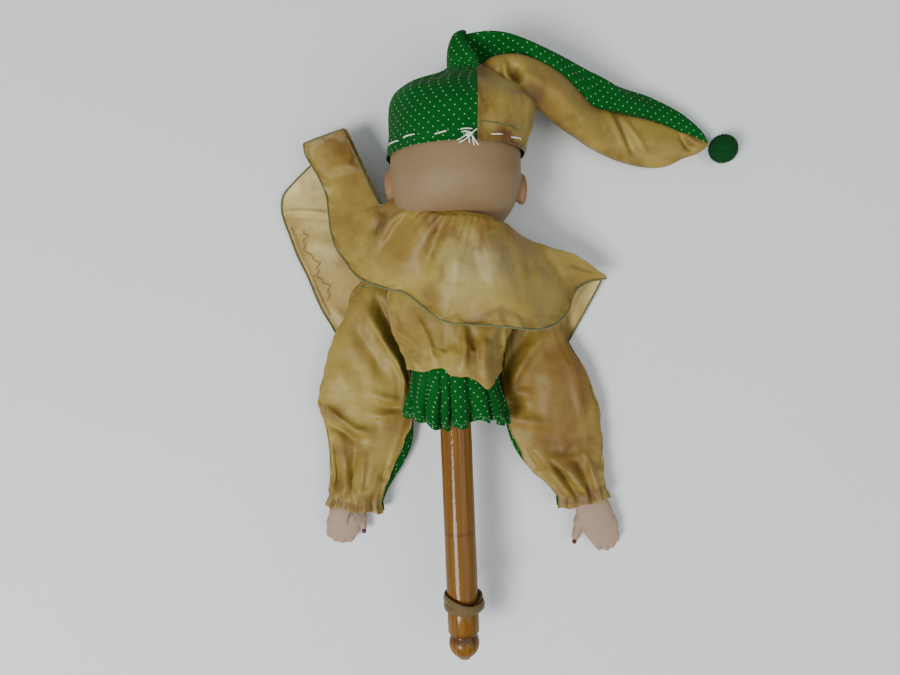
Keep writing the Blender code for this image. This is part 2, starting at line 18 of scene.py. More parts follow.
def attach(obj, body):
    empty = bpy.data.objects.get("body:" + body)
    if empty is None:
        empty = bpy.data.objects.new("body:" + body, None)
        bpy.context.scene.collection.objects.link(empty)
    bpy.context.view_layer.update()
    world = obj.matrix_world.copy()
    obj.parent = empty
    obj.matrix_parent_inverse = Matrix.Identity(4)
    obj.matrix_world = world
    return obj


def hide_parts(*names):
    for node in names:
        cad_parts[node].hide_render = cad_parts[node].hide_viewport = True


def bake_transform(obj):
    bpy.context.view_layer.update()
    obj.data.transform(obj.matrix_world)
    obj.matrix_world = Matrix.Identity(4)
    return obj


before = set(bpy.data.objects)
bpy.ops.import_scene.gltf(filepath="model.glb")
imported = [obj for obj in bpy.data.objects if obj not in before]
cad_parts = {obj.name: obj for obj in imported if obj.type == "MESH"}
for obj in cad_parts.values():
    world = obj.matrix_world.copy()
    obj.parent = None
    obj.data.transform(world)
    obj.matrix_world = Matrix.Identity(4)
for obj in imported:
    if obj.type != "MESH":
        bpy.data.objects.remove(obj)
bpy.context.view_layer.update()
MM = 0.001

# %% [markdown]
# ## Small helpers
#
# Colours are written as the sRGB hex a painter would name, and turned to linear light once. One
# function adds a shader node with its settings and its links. A curve through a few design points
# gives every smooth shape: cloth never runs in straight lines between its seams.

# %% Colour, node and curve helpers


def linear(hex_code):
    """An sRGB hex colour as linear RGBA."""
    parts = [int(hex_code[i:i + 2], 16) / 255 for i in (1, 3, 5)]
    return tuple(c / 12.92 if c <= 0.04045 else ((c + 0.055) / 1.055) ** 2.4
                 for c in parts) + (1.0,)


def node(tree, kind, inputs=None, **settings):
    """Add a node, set it, and link or fill its inputs."""
    made = tree.nodes.new(kind)
    for key, value in settings.items():
        setattr(made, key, value)
    for key, value in (inputs or {}).items():
        if isinstance(value, bpy.types.NodeSocket):
            tree.links.new(value, made.inputs[key])
        else:
            made.inputs[key].default_value = value
    return made


def smooth_rows(rows, t):
    """Catmull-Rom curve through rows of numbers, t from 0 to 1."""
    last = len(rows) - 1
    place = min(max(t, 0.0), 1.0) * last
    k = min(int(place), last - 1)
    u = place - k
    before, here = np.array(rows[max(k - 1, 0)]), np.array(rows[k])
    there, after = np.array(rows[k + 1]), np.array(rows[min(k + 2, last)])
    return 0.5 * (2 * here + (there - before) * u
                  + (2 * before - 5 * here + 4 * there - after) * u ** 2
                  + (3 * here - before - 3 * there + after) * u ** 3)


def soft_noise(x, y, z=0.0):
    """Smooth noise from -1 to 1, the same each run."""
    return noise.noise(Vector((x, y, z)))


def hump(value, centre, width):
    """A soft bump of height 1."""
    return math.exp(-((value - centre) / width) ** 2)


# %% [markdown]
# ## Making cloth
#
# A panel of cloth starts as a grid of points from a function of (across, along). Its UV map holds
# the distances along the threads in millimetres, so the weave and the pin dots keep their real size
# when the panel is gathered or folded. A Solidify modifier then gives the cloth its thickness.

# %% Build a cloth panel from a function
CLOTH_MM = 0.35


def add_mesh(name, verts, faces, uvs=None):
    """A mesh object from points in millimetres."""
    mesh = bpy.data.meshes.new(name)
    mesh.from_pydata([tuple(c * MM for c in v) for v in verts], [], faces)
    if uvs is not None:
        layer = mesh.uv_layers.new(name="cloth")
        for loop in mesh.loops:
            layer.data[loop.index].uv = uvs[loop.vertex_index]
    mesh.update()
    piece = bpy.data.objects.new(name, mesh)
    bpy.context.collection.objects.link(piece)
    return piece


def panel_grid(shape, across, along):
    """Points, faces and thread distances of a panel; shape(s, t) gives millimetres."""
    columns = across + 1
    points = np.zeros((along + 1, columns, 3))
    for i in range(along + 1):
        for j in range(columns):
            points[i, j] = shape(j / across, i / along)
    steps = np.linalg.norm(np.diff(points, axis=1), axis=2)
    u = np.concatenate([np.zeros((along + 1, 1)), np.cumsum(steps, axis=1)], axis=1)
    u -= u[:, columns // 2][:, None]
    drops = np.linalg.norm(np.diff(points, axis=0), axis=2).mean(axis=1)
    v = np.concatenate([[0.0], np.cumsum(drops)])
    uvs = [(u[i, j], v[i]) for i in range(along + 1) for j in range(columns)]
    faces = []
    for i in range(along):
        for j in range(across):
            here, above = i * columns + j, (i + 1) * columns + j
            faces.append((here, here + 1, above + 1, above))
    return points.reshape(-1, 3), faces, uvs


# %% Select one piece, and apply its modifiers


def select_only(piece):
    """Select this piece alone, as the operators act on all that is selected."""
    bpy.ops.object.select_all(action="DESELECT")
    piece.select_set(True)
    bpy.context.view_layer.objects.active = piece


def apply_modifiers(piece):
    select_only(piece)
    for modifier in list(piece.modifiers):
        bpy.ops.object.modifier_apply(modifier=modifier.name)


# %% Thickness, cut size and finish of a panel


def give_thickness(piece):
    """Subdivide the panel, thicken it evenly both ways and shade it smooth."""
    fine = piece.modifiers.new("fine", "SUBSURF")
    fine.levels = 1
    fine.render_levels = 1
    wall = piece.modifiers.new("thickness", "SOLIDIFY")
    wall.thickness = CLOTH_MM * MM
    wall.offset = 0.0
    apply_modifiers(piece)
    piece.data.shade_smooth()


def flat_size(piece):
    """Width, length and area of the panel's cut, in metres, from its thread distances."""
    mesh = piece.data
    uv = np.array([tuple(d.uv) for d in mesh.uv_layers["cloth"].data])
    area = 0.0
    for face in mesh.polygons:
        loop = uv[list(face.loop_indices)]
        nxt = np.roll(loop, -1, axis=0)
        area += abs(np.sum(loop[:, 0] * nxt[:, 1] - nxt[:, 0] * loop[:, 1])) / 2
    width, length = uv.max(axis=0) - uv.min(axis=0)
    return float(width) * MM, float(length) * MM, float(area) * MM * MM


def finish_cloth(piece, material):
    """Measure the cut cloth, give it its thickness and finish, and print its cut size."""
    width, length, area = flat_size(piece)
    give_thickness(piece)
    piece.data.materials.clear()
    piece.data.materials.append(material)
    print(f"{piece.name}: cut {width * 1000:.0f} x {length * 1000:.0f} mm,",
          len(piece.data.polygons), "faces")
    return piece


# %% [markdown]
# ## Cloth that has creased itself
#
# Real gathers come from too much cloth in too little space. Blender's Cloth can do the same: the
# panel's threads are told to grow by a few percent while its seams are pinned, and the spare cloth
# has to buckle. The panel is simulated ten times life size, where the solver's distances suit it.
# No point may end far from where the pattern put it.

# %% Crease a panel with a short cloth simulation
SIM_SCALE = 10.0
CLOTH_STIFFNESS = 8.0


def crease(piece, pinned, grow, frames, reach_mm, floor_mm=0.4):
    """Let the cloth buckle between its pinned points; pinned(point_mm) is 0 free to 1 held."""
    before = np.array([tuple(v.co) for v in piece.data.vertices])
    for v in piece.data.vertices:
        v.co *= SIM_SCALE
    pins = piece.vertex_groups.new(name="pins")
    for v, p in zip(piece.data.vertices, before):
        pins.add([v.index], float(pinned(p / MM)), "REPLACE")
    cloth = piece.modifiers.new("cloth", "CLOTH")
    settings = cloth.settings
    settings.quality = 6
    settings.mass = 0.15
    settings.tension_stiffness = CLOTH_STIFFNESS
    settings.compression_stiffness = CLOTH_STIFFNESS
    settings.shear_stiffness = CLOTH_STIFFNESS * 0.6
    settings.bending_stiffness = 0.4
    settings.vertex_group_mass = "pins"
    settings.pin_stiffness = 6.0
    settings.shrink_min = -grow
    settings.shrink_max = -grow
    settings.effector_weights.gravity = 0.25
    cloth.collision_settings.use_collision = False
    cloth.point_cache.frame_start = 1
    cloth.point_cache.frame_end = frames
    scene = bpy.context.scene
    for step in range(1, frames + 1):
        scene.frame_set(step)
    apply_modifiers(piece)
    scene.frame_set(1)
    after = np.array([tuple(v.co) for v in piece.data.vertices]) / SIM_SCALE
    moved = after - before
    far = np.linalg.norm(moved, axis=1)
    limit = reach_mm * MM
    held_back = np.where(far > limit, limit / np.maximum(far, 1e-9), 1.0)
    placed = before + moved * held_back[:, None]
    placed[:, 2] = np.maximum(placed[:, 2], floor_mm * MM)
    for v, p in zip(piece.data.vertices, placed):
        v.co = p
    piece.vertex_groups.clear()
    print(f"{piece.name}: creased, mean move {far.mean() * 1000:.2f} mm")
    return piece


# %% [markdown]
# ## The materials
#
# Each finish is named for what it is. Patterns on cloth read the panel's own thread distances in
# millimetres. Stains, grain and blush read Object coordinates, in metres.

# %% Cream satin: floats of shiny thread, tea-stained in soft brown blotches, with painted shade and a painted highlight
STAIN_AND_SHADE_BROWN, PAINTED_HIGHLIGHT_PALE = "#553208", "#A59A68"


def new_material(name):
    """A new finish, its node tree and its shader."""
    print("finish:", name)
    made = bpy.data.materials.new(name)
    made.use_nodes = True
    tree = made.node_tree
    return made, tree, tree.nodes["Principled BSDF"]


# %% Where the tea stains and the painted shade are
# Real tea stains, and painted shade: marks in the creases and valleys, along the valley between the
# left sleeve and the body, and the broad ones over the left strap, which tilts away from the light.
# Centre, reach and strength.
TEA_STAINS_AND_PAINTED_SHADE = [((-57, 105, 17), (13, 7, 12), 0.55), ((-50, 82, 26), (9, 18, 14), 0.3),
          ((-47, 95, 23), (4, 9, 10), 0.8), ((-34, 61, 34), (6, 9, 14), 0.65),
          ((-8, 50, 54), (3.5, 10, 9), 0.7), ((3, 47, 56), (3, 8, 9), 0.45),
          ((14, 46, 56), (3, 9, 9), 0.5), ((18, 8, 53), (26, 3, 9), 0.5),
          ((-8, 27, 46), (5, 9, 10), 0.6), ((45, 30, 42), (8, 4, 12), 0.45),
          ((30, 90.3, 50), (24, 5.0, 32), 0.9), ((19, 129, 50), (4.5, 6, 14), 0.95),
          ((16, 112, 66), (2, 18, 10), 0.6), ((56, -60, 16), (19, 4, 12), 0.7),
          ((61, -73, 14), (14, 6, 12), 0.35), ((-66, -38, 14), (11, 7, 12), 0.6),
          ((-58, -52, 14), (9, 8, 12), 0.5), ((-55, -86, 12), (18, 4, 12), 0.75),
          ((67, -87, 12), (16, 4, 12), 0.8), ((9, -8, 45), (4, 11, 10), 0.5),
          ((-31, 14, 40), (4, 13, 16), 0.6), ((-14, -8, 43), (5, 5, 10), 0.4),
          ((36, 127, 38), (6, 3, 10), 0.85), ((45, 117, 34), (5, 4, 12), 0.8),
          ((62, 106, 22), (16, 4, 12), 0.6), ((94, 92, 8), (20, 4, 10), 0.65),
          ((130, 99, 8), (5, 4, 8), 0.4), ((-36, 2, 22), (6, 12, 12), 0.4)]


def ellipse_cover(tree, place, centre, reach):
    """1 at a place in millimetres, fading to 0 at the reach round it."""
    local = node(tree, "ShaderNodeVectorMath",
                 {0: place, 1: tuple(c * MM for c in centre)}, operation="SUBTRACT")
    scaled = node(tree, "ShaderNodeVectorMath",
                  {0: local.outputs[0], 1: tuple(1 / (r * MM) for r in reach)},
                  operation="MULTIPLY")
    return node(tree, "ShaderNodeVectorMath",
                {0: scaled.outputs[0]}, operation="LENGTH").outputs["Value"]


# %% Mix the satin's colour, stains, painted shade and highlight, and weave


def make_cream_satin(name, light, golden, spot_share):
    made, tree, shader = new_material(name)
    where = node(tree, "ShaderNodeTexCoord")
    wide = node(tree, "ShaderNodeTexNoise", {"Vector": where.outputs["Object"], "Scale": 24.0,
                                             "Detail": 3.0, "Roughness": 0.55, "Distortion": 0.4})
    wide_range = node(tree, "ShaderNodeMapRange", {"Value": wide.outputs["Fac"], "From Min": 0.38,
                                                   "From Max": 0.68})
    base = node(tree, "ShaderNodeMix",
                {0: wide_range.outputs[0], 6: linear(light), 7: linear(golden)}, data_type="RGBA")
    spots = node(tree, "ShaderNodeTexNoise", {"Vector": where.outputs["Object"], "Scale": 75.0,
                                              "Detail": 4.0, "Roughness": 0.6})
    spot_range = node(tree, "ShaderNodeMapRange", {"Value": spots.outputs["Fac"], "From Min": 0.55,
                                                   "From Max": 0.75, "To Max": spot_share})
    # The edge of each stain and painted mark wanders by about 4 mm.
    drift = node(tree, "ShaderNodeTexNoise",
                 {"Vector": where.outputs["Object"], "Scale": 90.0, "Detail": 2.0})
    centred = node(tree, "ShaderNodeVectorMath", {0: drift.outputs["Color"], 1: (0.5, 0.5, 0.5)},
                   operation="SUBTRACT")
    pushed = node(tree, "ShaderNodeVectorMath",
                  {0: centred.outputs[0], 1: (0.02, 0.02, 0.02), 2: where.outputs["Object"]},
                  operation="MULTIPLY_ADD")
    # The middle of the collar, at its highest, is painted paler: a painted highlight where the
    # light falls most.
    lit_middle_cover = ellipse_cover(tree, pushed.outputs[0], (14, 33, 56), (30, 17, 14))
    lit_middle_range = node(tree, "ShaderNodeMapRange",
                      {"Value": lit_middle_cover, "From Min": 0.3, "From Max": 1.1, "To Min": 0.5,
                       "To Max": 0.0})
    base = node(tree, "ShaderNodeMix",
                {0: lit_middle_range.outputs[0], 6: base.outputs[2], 7: linear(PAINTED_HIGHLIGHT_PALE)},
                data_type="RGBA")
    cover = spot_range.outputs[0]
    # The real stains and the painted shade darken towards the same brown.
    for centre, reach, strength in TEA_STAINS_AND_PAINTED_SHADE:
        far = ellipse_cover(tree, pushed.outputs[0], centre, reach)
        near = node(tree, "ShaderNodeMapRange", {"Value": far, "From Min": 0.25, "From Max": 1.25,
                                                 "To Min": strength, "To Max": 0.0})
        cover = node(tree, "ShaderNodeMath",
                     {0: cover, 1: near.outputs[0]}, operation="MAXIMUM").outputs[0]
    stains_and_shade_mix = node(tree, "ShaderNodeMix", {0: cover, 6: base.outputs[2], 7: linear(STAIN_AND_SHADE_BROWN)},
                   data_type="RGBA")
    # Satin's threads are 0.1 mm; the slubs that show are about 0.5 mm wide and 8 mm long.
    cloth_threads = node(tree, "ShaderNodeUVMap", uv_map="cloth")
    stretched = node(tree, "ShaderNodeMapping", {"Vector": cloth_threads.outputs[0],
                                                 "Scale": (0.13, 2.0, 1.0)})
    slubs = node(tree, "ShaderNodeTexNoise", {"Vector": stretched.outputs[0], "Scale": 1.0,
                                              "Detail": 2.0})
    upright = node(tree, "ShaderNodeMapping",
                   {"Vector": cloth_threads.outputs[0], "Scale": (2.4, 0.2, 1.0)})
    warp = node(tree, "ShaderNodeTexNoise",
                {"Vector": upright.outputs[0], "Scale": 1.0, "Detail": 1.0})
    weave_sum = node(tree, "ShaderNodeMath",
                     {0: slubs.outputs["Fac"], 1: warp.outputs["Fac"]}, operation="ADD")
    slub_range = node(tree, "ShaderNodeMapRange",
                      {"Value": weave_sum.outputs[0], "From Min": 0.7, "From Max": 1.3,
                       "To Min": 0.86, "To Max": 1.08})
    shade = node(tree, "ShaderNodeVectorMath",
                 {0: stains_and_shade_mix.outputs[2], "Scale": slub_range.outputs[0]}, operation="SCALE")
    tree.links.new(shade.outputs[0], shader.inputs["Base Color"])
    weave = node(tree, "ShaderNodeBump", {"Height": weave_sum.outputs[0], "Strength": 0.3,
                                          "Distance": 0.0002})
    crumple = node(tree, "ShaderNodeTexNoise", {"Vector": where.outputs["Object"], "Scale": 60.0,
                                                "Detail": 4.0, "Distortion": 0.3})
    folds = node(tree, "ShaderNodeBump", {"Height": crumple.outputs["Fac"], "Strength": 0.2,
                                          "Distance": 0.003, "Normal": weave.outputs[0]})
    tree.links.new(folds.outputs[0], shader.inputs["Normal"])
    shader.inputs["Roughness"].default_value = 0.5
    shader.inputs["Sheen Weight"].default_value = 0.04
    shader.inputs["Sheen Roughness"].default_value = 0.4
    shader.inputs["Specular IOR Level"].default_value = 0.34
    return made


cream_satin = make_cream_satin("cream_satin_stains_and_painted_shade", "#937F38", "#6E5015", 0.4)
cream_satin_inside = make_cream_satin("cream_satin_wrong_side", "#CBB978", "#96783A", 0.4)

# %% Green pin-dot cotton: a plain weave with printed dots
DOT_PITCH_MM = 4.8             # rows of dots, with another dot in the middle of each square
DOT_R_MM = 0.29


def make_green_cotton():
    made, tree, shader = new_material("green_pin_dot_cotton")
    threads = node(tree, "ShaderNodeUVMap", uv_map="cloth")
    where = node(tree, "ShaderNodeTexCoord")
    nearest = None
    for shift in (0.0, 0.5):
        cell = node(tree, "ShaderNodeMapping", {"Vector": threads.outputs[0],
                                                "Location": (shift, shift, 0),
                                                "Scale": (1 / DOT_PITCH_MM, 1 / DOT_PITCH_MM, 0)})
        part = node(tree, "ShaderNodeVectorMath", {0: cell.outputs[0]}, operation="FRACTION")
        middle = node(tree, "ShaderNodeVectorMath", {0: part.outputs[0], 1: (0.5, 0.5, 0.0)},
                      operation="DISTANCE")
        nearest = middle if nearest is None else node(
            tree, "ShaderNodeMath", {0: nearest.outputs["Value"], 1: middle.outputs["Value"]},
            operation="MINIMUM")
    edge = DOT_R_MM / DOT_PITCH_MM
    dot = node(tree, "ShaderNodeMapRange", {"Value": nearest.outputs[0], "From Min": edge * 0.6,
                                            "From Max": edge * 1.3, "To Min": 0.85, "To Max": 0.0})
    # Cotton threads are 0.25 mm; drawn at 0.5 mm so that the weave shows.
    fine = node(tree, "ShaderNodeMapping",
                {"Vector": threads.outputs[0], "Scale": (2.0, 2.0, 1.0)})
    weave = node(tree, "ShaderNodeTexNoise",
                 {"Vector": fine.outputs[0], "Scale": 1.0, "Detail": 1.0})
    fade = node(tree, "ShaderNodeTexNoise", {"Vector": where.outputs["Object"], "Scale": 45.0,
                                             "Detail": 3.0})
    cloth = node(tree, "ShaderNodeMix", {0: fade.outputs["Fac"], 6: linear("#003A0B"),
                                         7: linear("#005216")}, data_type="RGBA")
    printed = node(tree, "ShaderNodeMix", {0: dot.outputs[0], 6: cloth.outputs[2],
                                           7: linear("#9AC892")}, data_type="RGBA")
    tree.links.new(printed.outputs[2], shader.inputs["Base Color"])
    bump = node(tree, "ShaderNodeBump", {"Height": weave.outputs["Fac"], "Strength": 0.3,
                                         "Distance": 0.0002})
    soft = node(tree, "ShaderNodeTexNoise", {"Vector": where.outputs["Object"], "Scale": 95.0,
                                             "Detail": 2.0})
    folds = node(tree, "ShaderNodeBump", {"Height": soft.outputs["Fac"], "Strength": 0.35,
                                          "Distance": 0.002, "Normal": bump.outputs[0]})
    tree.links.new(folds.outputs[0], shader.inputs["Normal"])
    shader.inputs["Roughness"].default_value = 0.85
    shader.inputs["Sheen Weight"].default_value = 0.02
    shader.inputs["Specular IOR Level"].default_value = 0.12
    return made


green_cotton = make_green_cotton()

# %% Bisque porcelain: unglazed, flesh tinted in the slip, matte with a faint blush


def make_bisque(name, pale, warm, face=False):
    made, tree, shader = new_material(name)
    where = node(tree, "ShaderNodeTexCoord")
    cloudy = node(tree, "ShaderNodeTexNoise", {"Vector": where.outputs["Object"], "Scale": 38.0,
                                               "Detail": 3.0})
    colour = node(tree, "ShaderNodeMix",
                  {0: cloudy.outputs["Fac"], 6: linear(pale), 7: linear(warm)},
                  data_type="RGBA").outputs[2]
    if face:
        # Painted by place: ears and cheeks blushed, a painted shadow where the collar's gathered
        # edge lies across the back of the head, then eyes, brows and lips on the face side.
        marks = [((-29, 78, 30), (5, 11, 12), "#8A5020", 0.8),
                 ((39.5, 73.5, 30), (5, 11, 12), "#8A5020", 0.8),
                 ((2, 58, 52), (34, 9, 20), "#6B4B2C", 0.55),
                 ((-8, 76, 5), (11, 10, 9), "#D98E7C", 0.6),
                 ((19, 76, 5), (11, 10, 9), "#D98E7C", 0.6),
                 ((-6, 89, 5), (5.2, 3.0, 9), "#F1EAE2", 1.0),
                 ((16.4, 89, 5), (5.2, 3.0, 9), "#F1EAE2", 1.0),
                 ((-6, 89, 5), (2.7, 2.7, 9), "#5A7894", 1.0),
                 ((16.4, 89, 5), (2.7, 2.7, 9), "#5A7894", 1.0),
                 ((-6, 89, 5), (1.2, 1.2, 9), "#15120F", 1.0),
                 ((16.4, 89, 5), (1.2, 1.2, 9), "#15120F", 1.0),
                 ((-6.4, 97, 6), (6.5, 1.0, 9), "#7A5333", 0.9),
                 ((16.8, 97, 6), (6.5, 1.0, 9), "#7A5333", 0.9),
                 ((5.2, 70.5, 4), (4.6, 1.9, 9), "#B8413C", 0.95)]
        for centre, size, paint, strength in marks:
            far = ellipse_cover(tree, where.outputs["Object"], centre, size)
            hard = size[0] < 7 and size[2] == 9
            cover = node(tree, "ShaderNodeMapRange",
                         {"Value": far, "From Min": 0.86 if hard else 0.1, "From Max": 1.0,
                          "To Min": strength, "To Max": 0.0})
            colour = node(tree, "ShaderNodeMix",
                          {0: cover.outputs[0], 6: colour, 7: linear(paint)},
                          data_type="RGBA").outputs[2]
    tree.links.new(colour, shader.inputs["Base Color"])
    grain = node(tree, "ShaderNodeTexNoise", {"Vector": where.outputs["Object"], "Scale": 1400.0,
                                              "Detail": 2.0})
    bump = node(tree, "ShaderNodeBump", {"Height": grain.outputs["Fac"], "Strength": 0.12,
                                         "Distance": 0.0001})
    tree.links.new(bump.outputs[0], shader.inputs["Normal"])
    shader.inputs["Roughness"].default_value = 0.62
    shader.inputs["Subsurface Weight"].default_value = 0.08
    shader.inputs["Subsurface Radius"].default_value = (0.004, 0.002, 0.001)
    shader.inputs["Specular IOR Level"].default_value = 0.35
    return made


bisque_head = make_bisque("bisque_porcelain_painted", "#847050", "#70583A", True)
bisque_hands = make_bisque("bisque_porcelain_plain", "#9C8874", "#8A735E")

# %% Varnished hardwood: amber shellac over fine straight grain


def make_varnished_wood():
    made, tree, shader = new_material("amber_varnished_birch")
    where = node(tree, "ShaderNodeTexCoord")
    # Grain lines about 0.5 mm apart and 60 mm long, running down the handle.
    along = node(tree, "ShaderNodeMapping", {"Vector": where.outputs["Object"],
                                             "Scale": (900.0, 16.0, 900.0)})
    grain = node(tree, "ShaderNodeTexNoise",
                 {"Vector": along.outputs[0], "Scale": 1.0, "Detail": 4.0, "Distortion": 0.3})
    bands = node(tree, "ShaderNodeMapping", {"Vector": where.outputs["Object"],
                                             "Scale": (140.0, 9.0, 140.0)})
    broad = node(tree, "ShaderNodeTexNoise",
                 {"Vector": bands.outputs[0], "Scale": 1.0, "Detail": 2.0})
    grain_range = node(tree, "ShaderNodeMapRange",
                       {"Value": grain.outputs["Fac"], "From Min": 0.35, "From Max": 0.7})
    wood = node(tree, "ShaderNodeMix", {0: grain_range.outputs[0], 6: linear("#7A5004"),
                                        7: linear("#553502")}, data_type="RGBA")
    deep_range = node(tree, "ShaderNodeMapRange", {"Value": broad.outputs["Fac"], "From Min": 0.45,
                                                   "From Max": 0.75, "To Max": 0.35})
    deep = node(tree, "ShaderNodeMix", {0: deep_range.outputs[0], 6: wood.outputs[2],
                                        7: linear("#452A04")}, data_type="RGBA")
    # A worn ring in the varnish two thirds of the way up the grip, and a dark ring in the groove
    # above the ball, partly varnish pooled there and partly painted shade in the groove: distance
    # along Y, inner and outer half width in metres, strength.
    height = node(tree, "ShaderNodeSeparateXYZ", {0: where.outputs["Object"]})
    worn_and_shaded = deep
    for at, inner, outer, strength in ((0.0985, 0.0004, 0.0012, 0.35),
                                       (0.1512, 0.0008, 0.0034, 0.75)):
        ring = node(tree, "ShaderNodeMath", {0: height.outputs["Y"], 1: at}, operation="ADD")
        ring_far = node(tree, "ShaderNodeMath", {0: ring.outputs[0]}, operation="ABSOLUTE")
        ring_range = node(tree, "ShaderNodeMapRange",
                          {"Value": ring_far.outputs[0], "From Min": inner, "From Max": outer,
                           "To Min": strength, "To Max": 0.0})
        worn_and_shaded = node(tree, "ShaderNodeMix", {0: ring_range.outputs[0], 6: worn_and_shaded.outputs[2],
                                            7: linear("#351B03")}, data_type="RGBA")
    tree.links.new(worn_and_shaded.outputs[2], shader.inputs["Base Color"])
    bump = node(tree, "ShaderNodeBump", {"Height": grain.outputs["Fac"], "Strength": 0.15,
                                         "Distance": 0.0001})
    wavy = node(tree, "ShaderNodeTexNoise", {"Vector": where.outputs["Object"], "Scale": 210.0,
                                             "Detail": 2.0})
    varnish = node(tree, "ShaderNodeBump", {"Height": wavy.outputs["Fac"], "Strength": 0.4,
                                            "Distance": 0.0004})
    tree.links.new(bump.outputs[0], shader.inputs["Normal"])
    tree.links.new(varnish.outputs[0], shader.inputs["Coat Normal"])
    shader.inputs["Roughness"].default_value = 0.55
    shader.inputs["Specular IOR Level"].default_value = 0.15
    shader.inputs["Coat Weight"].default_value = 0.28
    shader.inputs["Coat Roughness"].default_value = 0.06
    return made


varnished_wood = make_varnished_wood()

# %% Threads, elastic, wadding, cork and yarn: short fibres, told apart by colour and twist


def make_fibre(name, light, dark, grain_per_m, roughness=0.85, bump_mm=0.2, sheen=0.2):
    made, tree, shader = new_material(name)
    where = node(tree, "ShaderNodeTexCoord")
    fibre = node(tree, "ShaderNodeTexNoise",
                 {"Vector": where.outputs["Object"], "Scale": grain_per_m, "Detail": 3.0})
    mixed = node(tree, "ShaderNodeMix",
                 {0: fibre.outputs["Fac"], 6: linear(light), 7: linear(dark)}, data_type="RGBA")
    bump = node(tree, "ShaderNodeBump", {"Height": fibre.outputs["Fac"], "Strength": 0.5,
                                         "Distance": bump_mm * MM})
    tree.links.new(mixed.outputs[2], shader.inputs["Base Color"])
    tree.links.new(bump.outputs[0], shader.inputs["Normal"])
    shader.inputs["Roughness"].default_value = roughness
    shader.inputs["Specular IOR Level"].default_value = 0.25
    shader.inputs["Sheen Weight"].default_value = sheen
    return made


olive_thread = make_fibre("olive_overlock_thread", "#6F7348", "#3F4426", 1500.0)
white_thread = make_fibre("white_basting_thread", "#F2F0EA", "#C9C5BA", 1500.0)
green_thread = make_fibre("dark_green_sewing_thread", "#1F6A38", "#123F22", 1500.0)
dark_thread = make_fibre("grey_tying_thread", "#5B5F5C", "#33393A", 1500.0)
brown_thread = make_fibre("brown_sewing_thread", "#8A6A35", "#573D18", 1500.0)
elastic_cover = make_fibre("braided_elastic_cover", "#6A5526", "#3A2C0E", 900.0, 0.6, 0.3)
wadding_cotton = make_fibre("cotton_wadding", "#E6E1D3", "#C8C1AE", 260.0, 0.95, 1.5)
cork_grain = make_fibre("pressed_cork", "#B98F5D", "#7A5430", 420.0, 0.9, 0.4, 0.0)
pompom_yarn = make_fibre("deep_green_cut_yarn", "#004717", "#002A0A", 900.0, 0.95, 0.4, 0.0)

# %% [markdown]
# ## Pieces that ride the CAD bodies
#
# Most new pieces move with one body of the frame; those given two bodies keep their place
# unattached. One helper says which CAD node the piece stands for and what it rides on.

# %% Place a finished piece on its body


def fit(piece, body, slot, *nodes):
    """The piece moves with one body, and may stand for CAD nodes."""
    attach(piece, body)
    if nodes:
        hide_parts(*nodes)
    return piece


def fit_between(piece, a, b, start, end, slot, *nodes):
    """Bake in its place and hide its CAD nodes; a and b are not used; start and end (mm) do
    nothing.
    """
    tuple(c * MM for c in start)
    tuple(c * MM for c in end)
    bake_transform(piece)
    if nodes:
        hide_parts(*nodes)
    return piece


# %% [markdown]
# ## The handle
#
# The real handle is a turned stick: a plain dowel whose foot is rounded into a ball below a cut
# groove. It is made as a lathe would make it. A disc at the foot is extruded up the stick one step
# at a time, and each new edge is scaled to its own radius.

# %% Turn the handle from its foot to the neck
HANDLE_Z = 28.0
FOOT_Y, TOP_Y, BALL_Y = -163.0, 80.0, -155.0
WOOD_R, BALL_R = 7.95, 7.75


def set_paint(piece, material):
    piece.data.materials.clear()
    piece.data.materials.append(material)


def turn_stick(name, profile, sides=72):
    """profile is (distance along Y, radius), from the foot up."""
    bpy.ops.object.select_all(action="DESELECT")
    y, r = profile[0]
    bpy.ops.mesh.primitive_circle_add(vertices=sides, radius=r * MM, fill_type="NGON",
                                      location=(0, y * MM, HANDLE_Z * MM),
                                      rotation=(math.pi / 2, 0, 0))
    piece = bpy.context.object
    piece.name = name
    bpy.ops.object.transform_apply(location=True, rotation=True, scale=True)
    bpy.ops.object.mode_set(mode="EDIT")
    bpy.ops.mesh.select_all(action="SELECT")
    for next_y, next_r in profile[1:]:
        step = (0, (next_y - y) * MM, 0)
        bpy.ops.mesh.extrude_region_move(TRANSFORM_OT_translate={"value": step})
        bpy.ops.transform.resize(value=(next_r / r, 1, next_r / r),
                                 center_override=(0, next_y * MM, HANDLE_Z * MM))
        y, r = next_y, next_r
    bpy.ops.mesh.select_all(action="SELECT")
    bpy.ops.mesh.remove_doubles(threshold=1e-6)
    bpy.ops.mesh.normals_make_consistent(inside=False)
    bpy.ops.object.mode_set(mode="OBJECT")
    bpy.ops.object.shade_smooth_by_angle(angle=math.radians(40))
    return piece


# %% The foot's ball, the groove, the grip and the top
stick = []
for k in range(14):
    fall = math.radians(76 - 11 * k)
    if BALL_Y - BALL_R * math.sin(fall) < -151.6:
        stick.append((BALL_Y - BALL_R * math.sin(fall), BALL_R * math.cos(fall)))
stick = [(FOOT_Y, 2.3), (FOOT_Y + 0.25, 3.0)] + [(y, r) for y, r in stick if y > FOOT_Y + 0.9]
stick += [(-151.3, 7.0), (-150.8, 6.85), (-150.2, 7.0), (-149.6, 7.6), (-148.9, WOOD_R)]
stick += [(y, WOOD_R + 0.05 * math.sin(y * 0.31)) for y in range(-140, 80, 12)]
stick += [(TOP_Y - 1.0, WOOD_R), (TOP_Y, WOOD_R - 1.0)]
handle_stick = turn_stick("handle_stick", stick)
set_paint(handle_stick, varnished_wood)
fit(handle_stick, "puppet", "varnished_wood", "handle")
print("handle:", round((TOP_Y - FOOT_Y), 1), "mm long,", len(handle_stick.data.polygons), "faces")

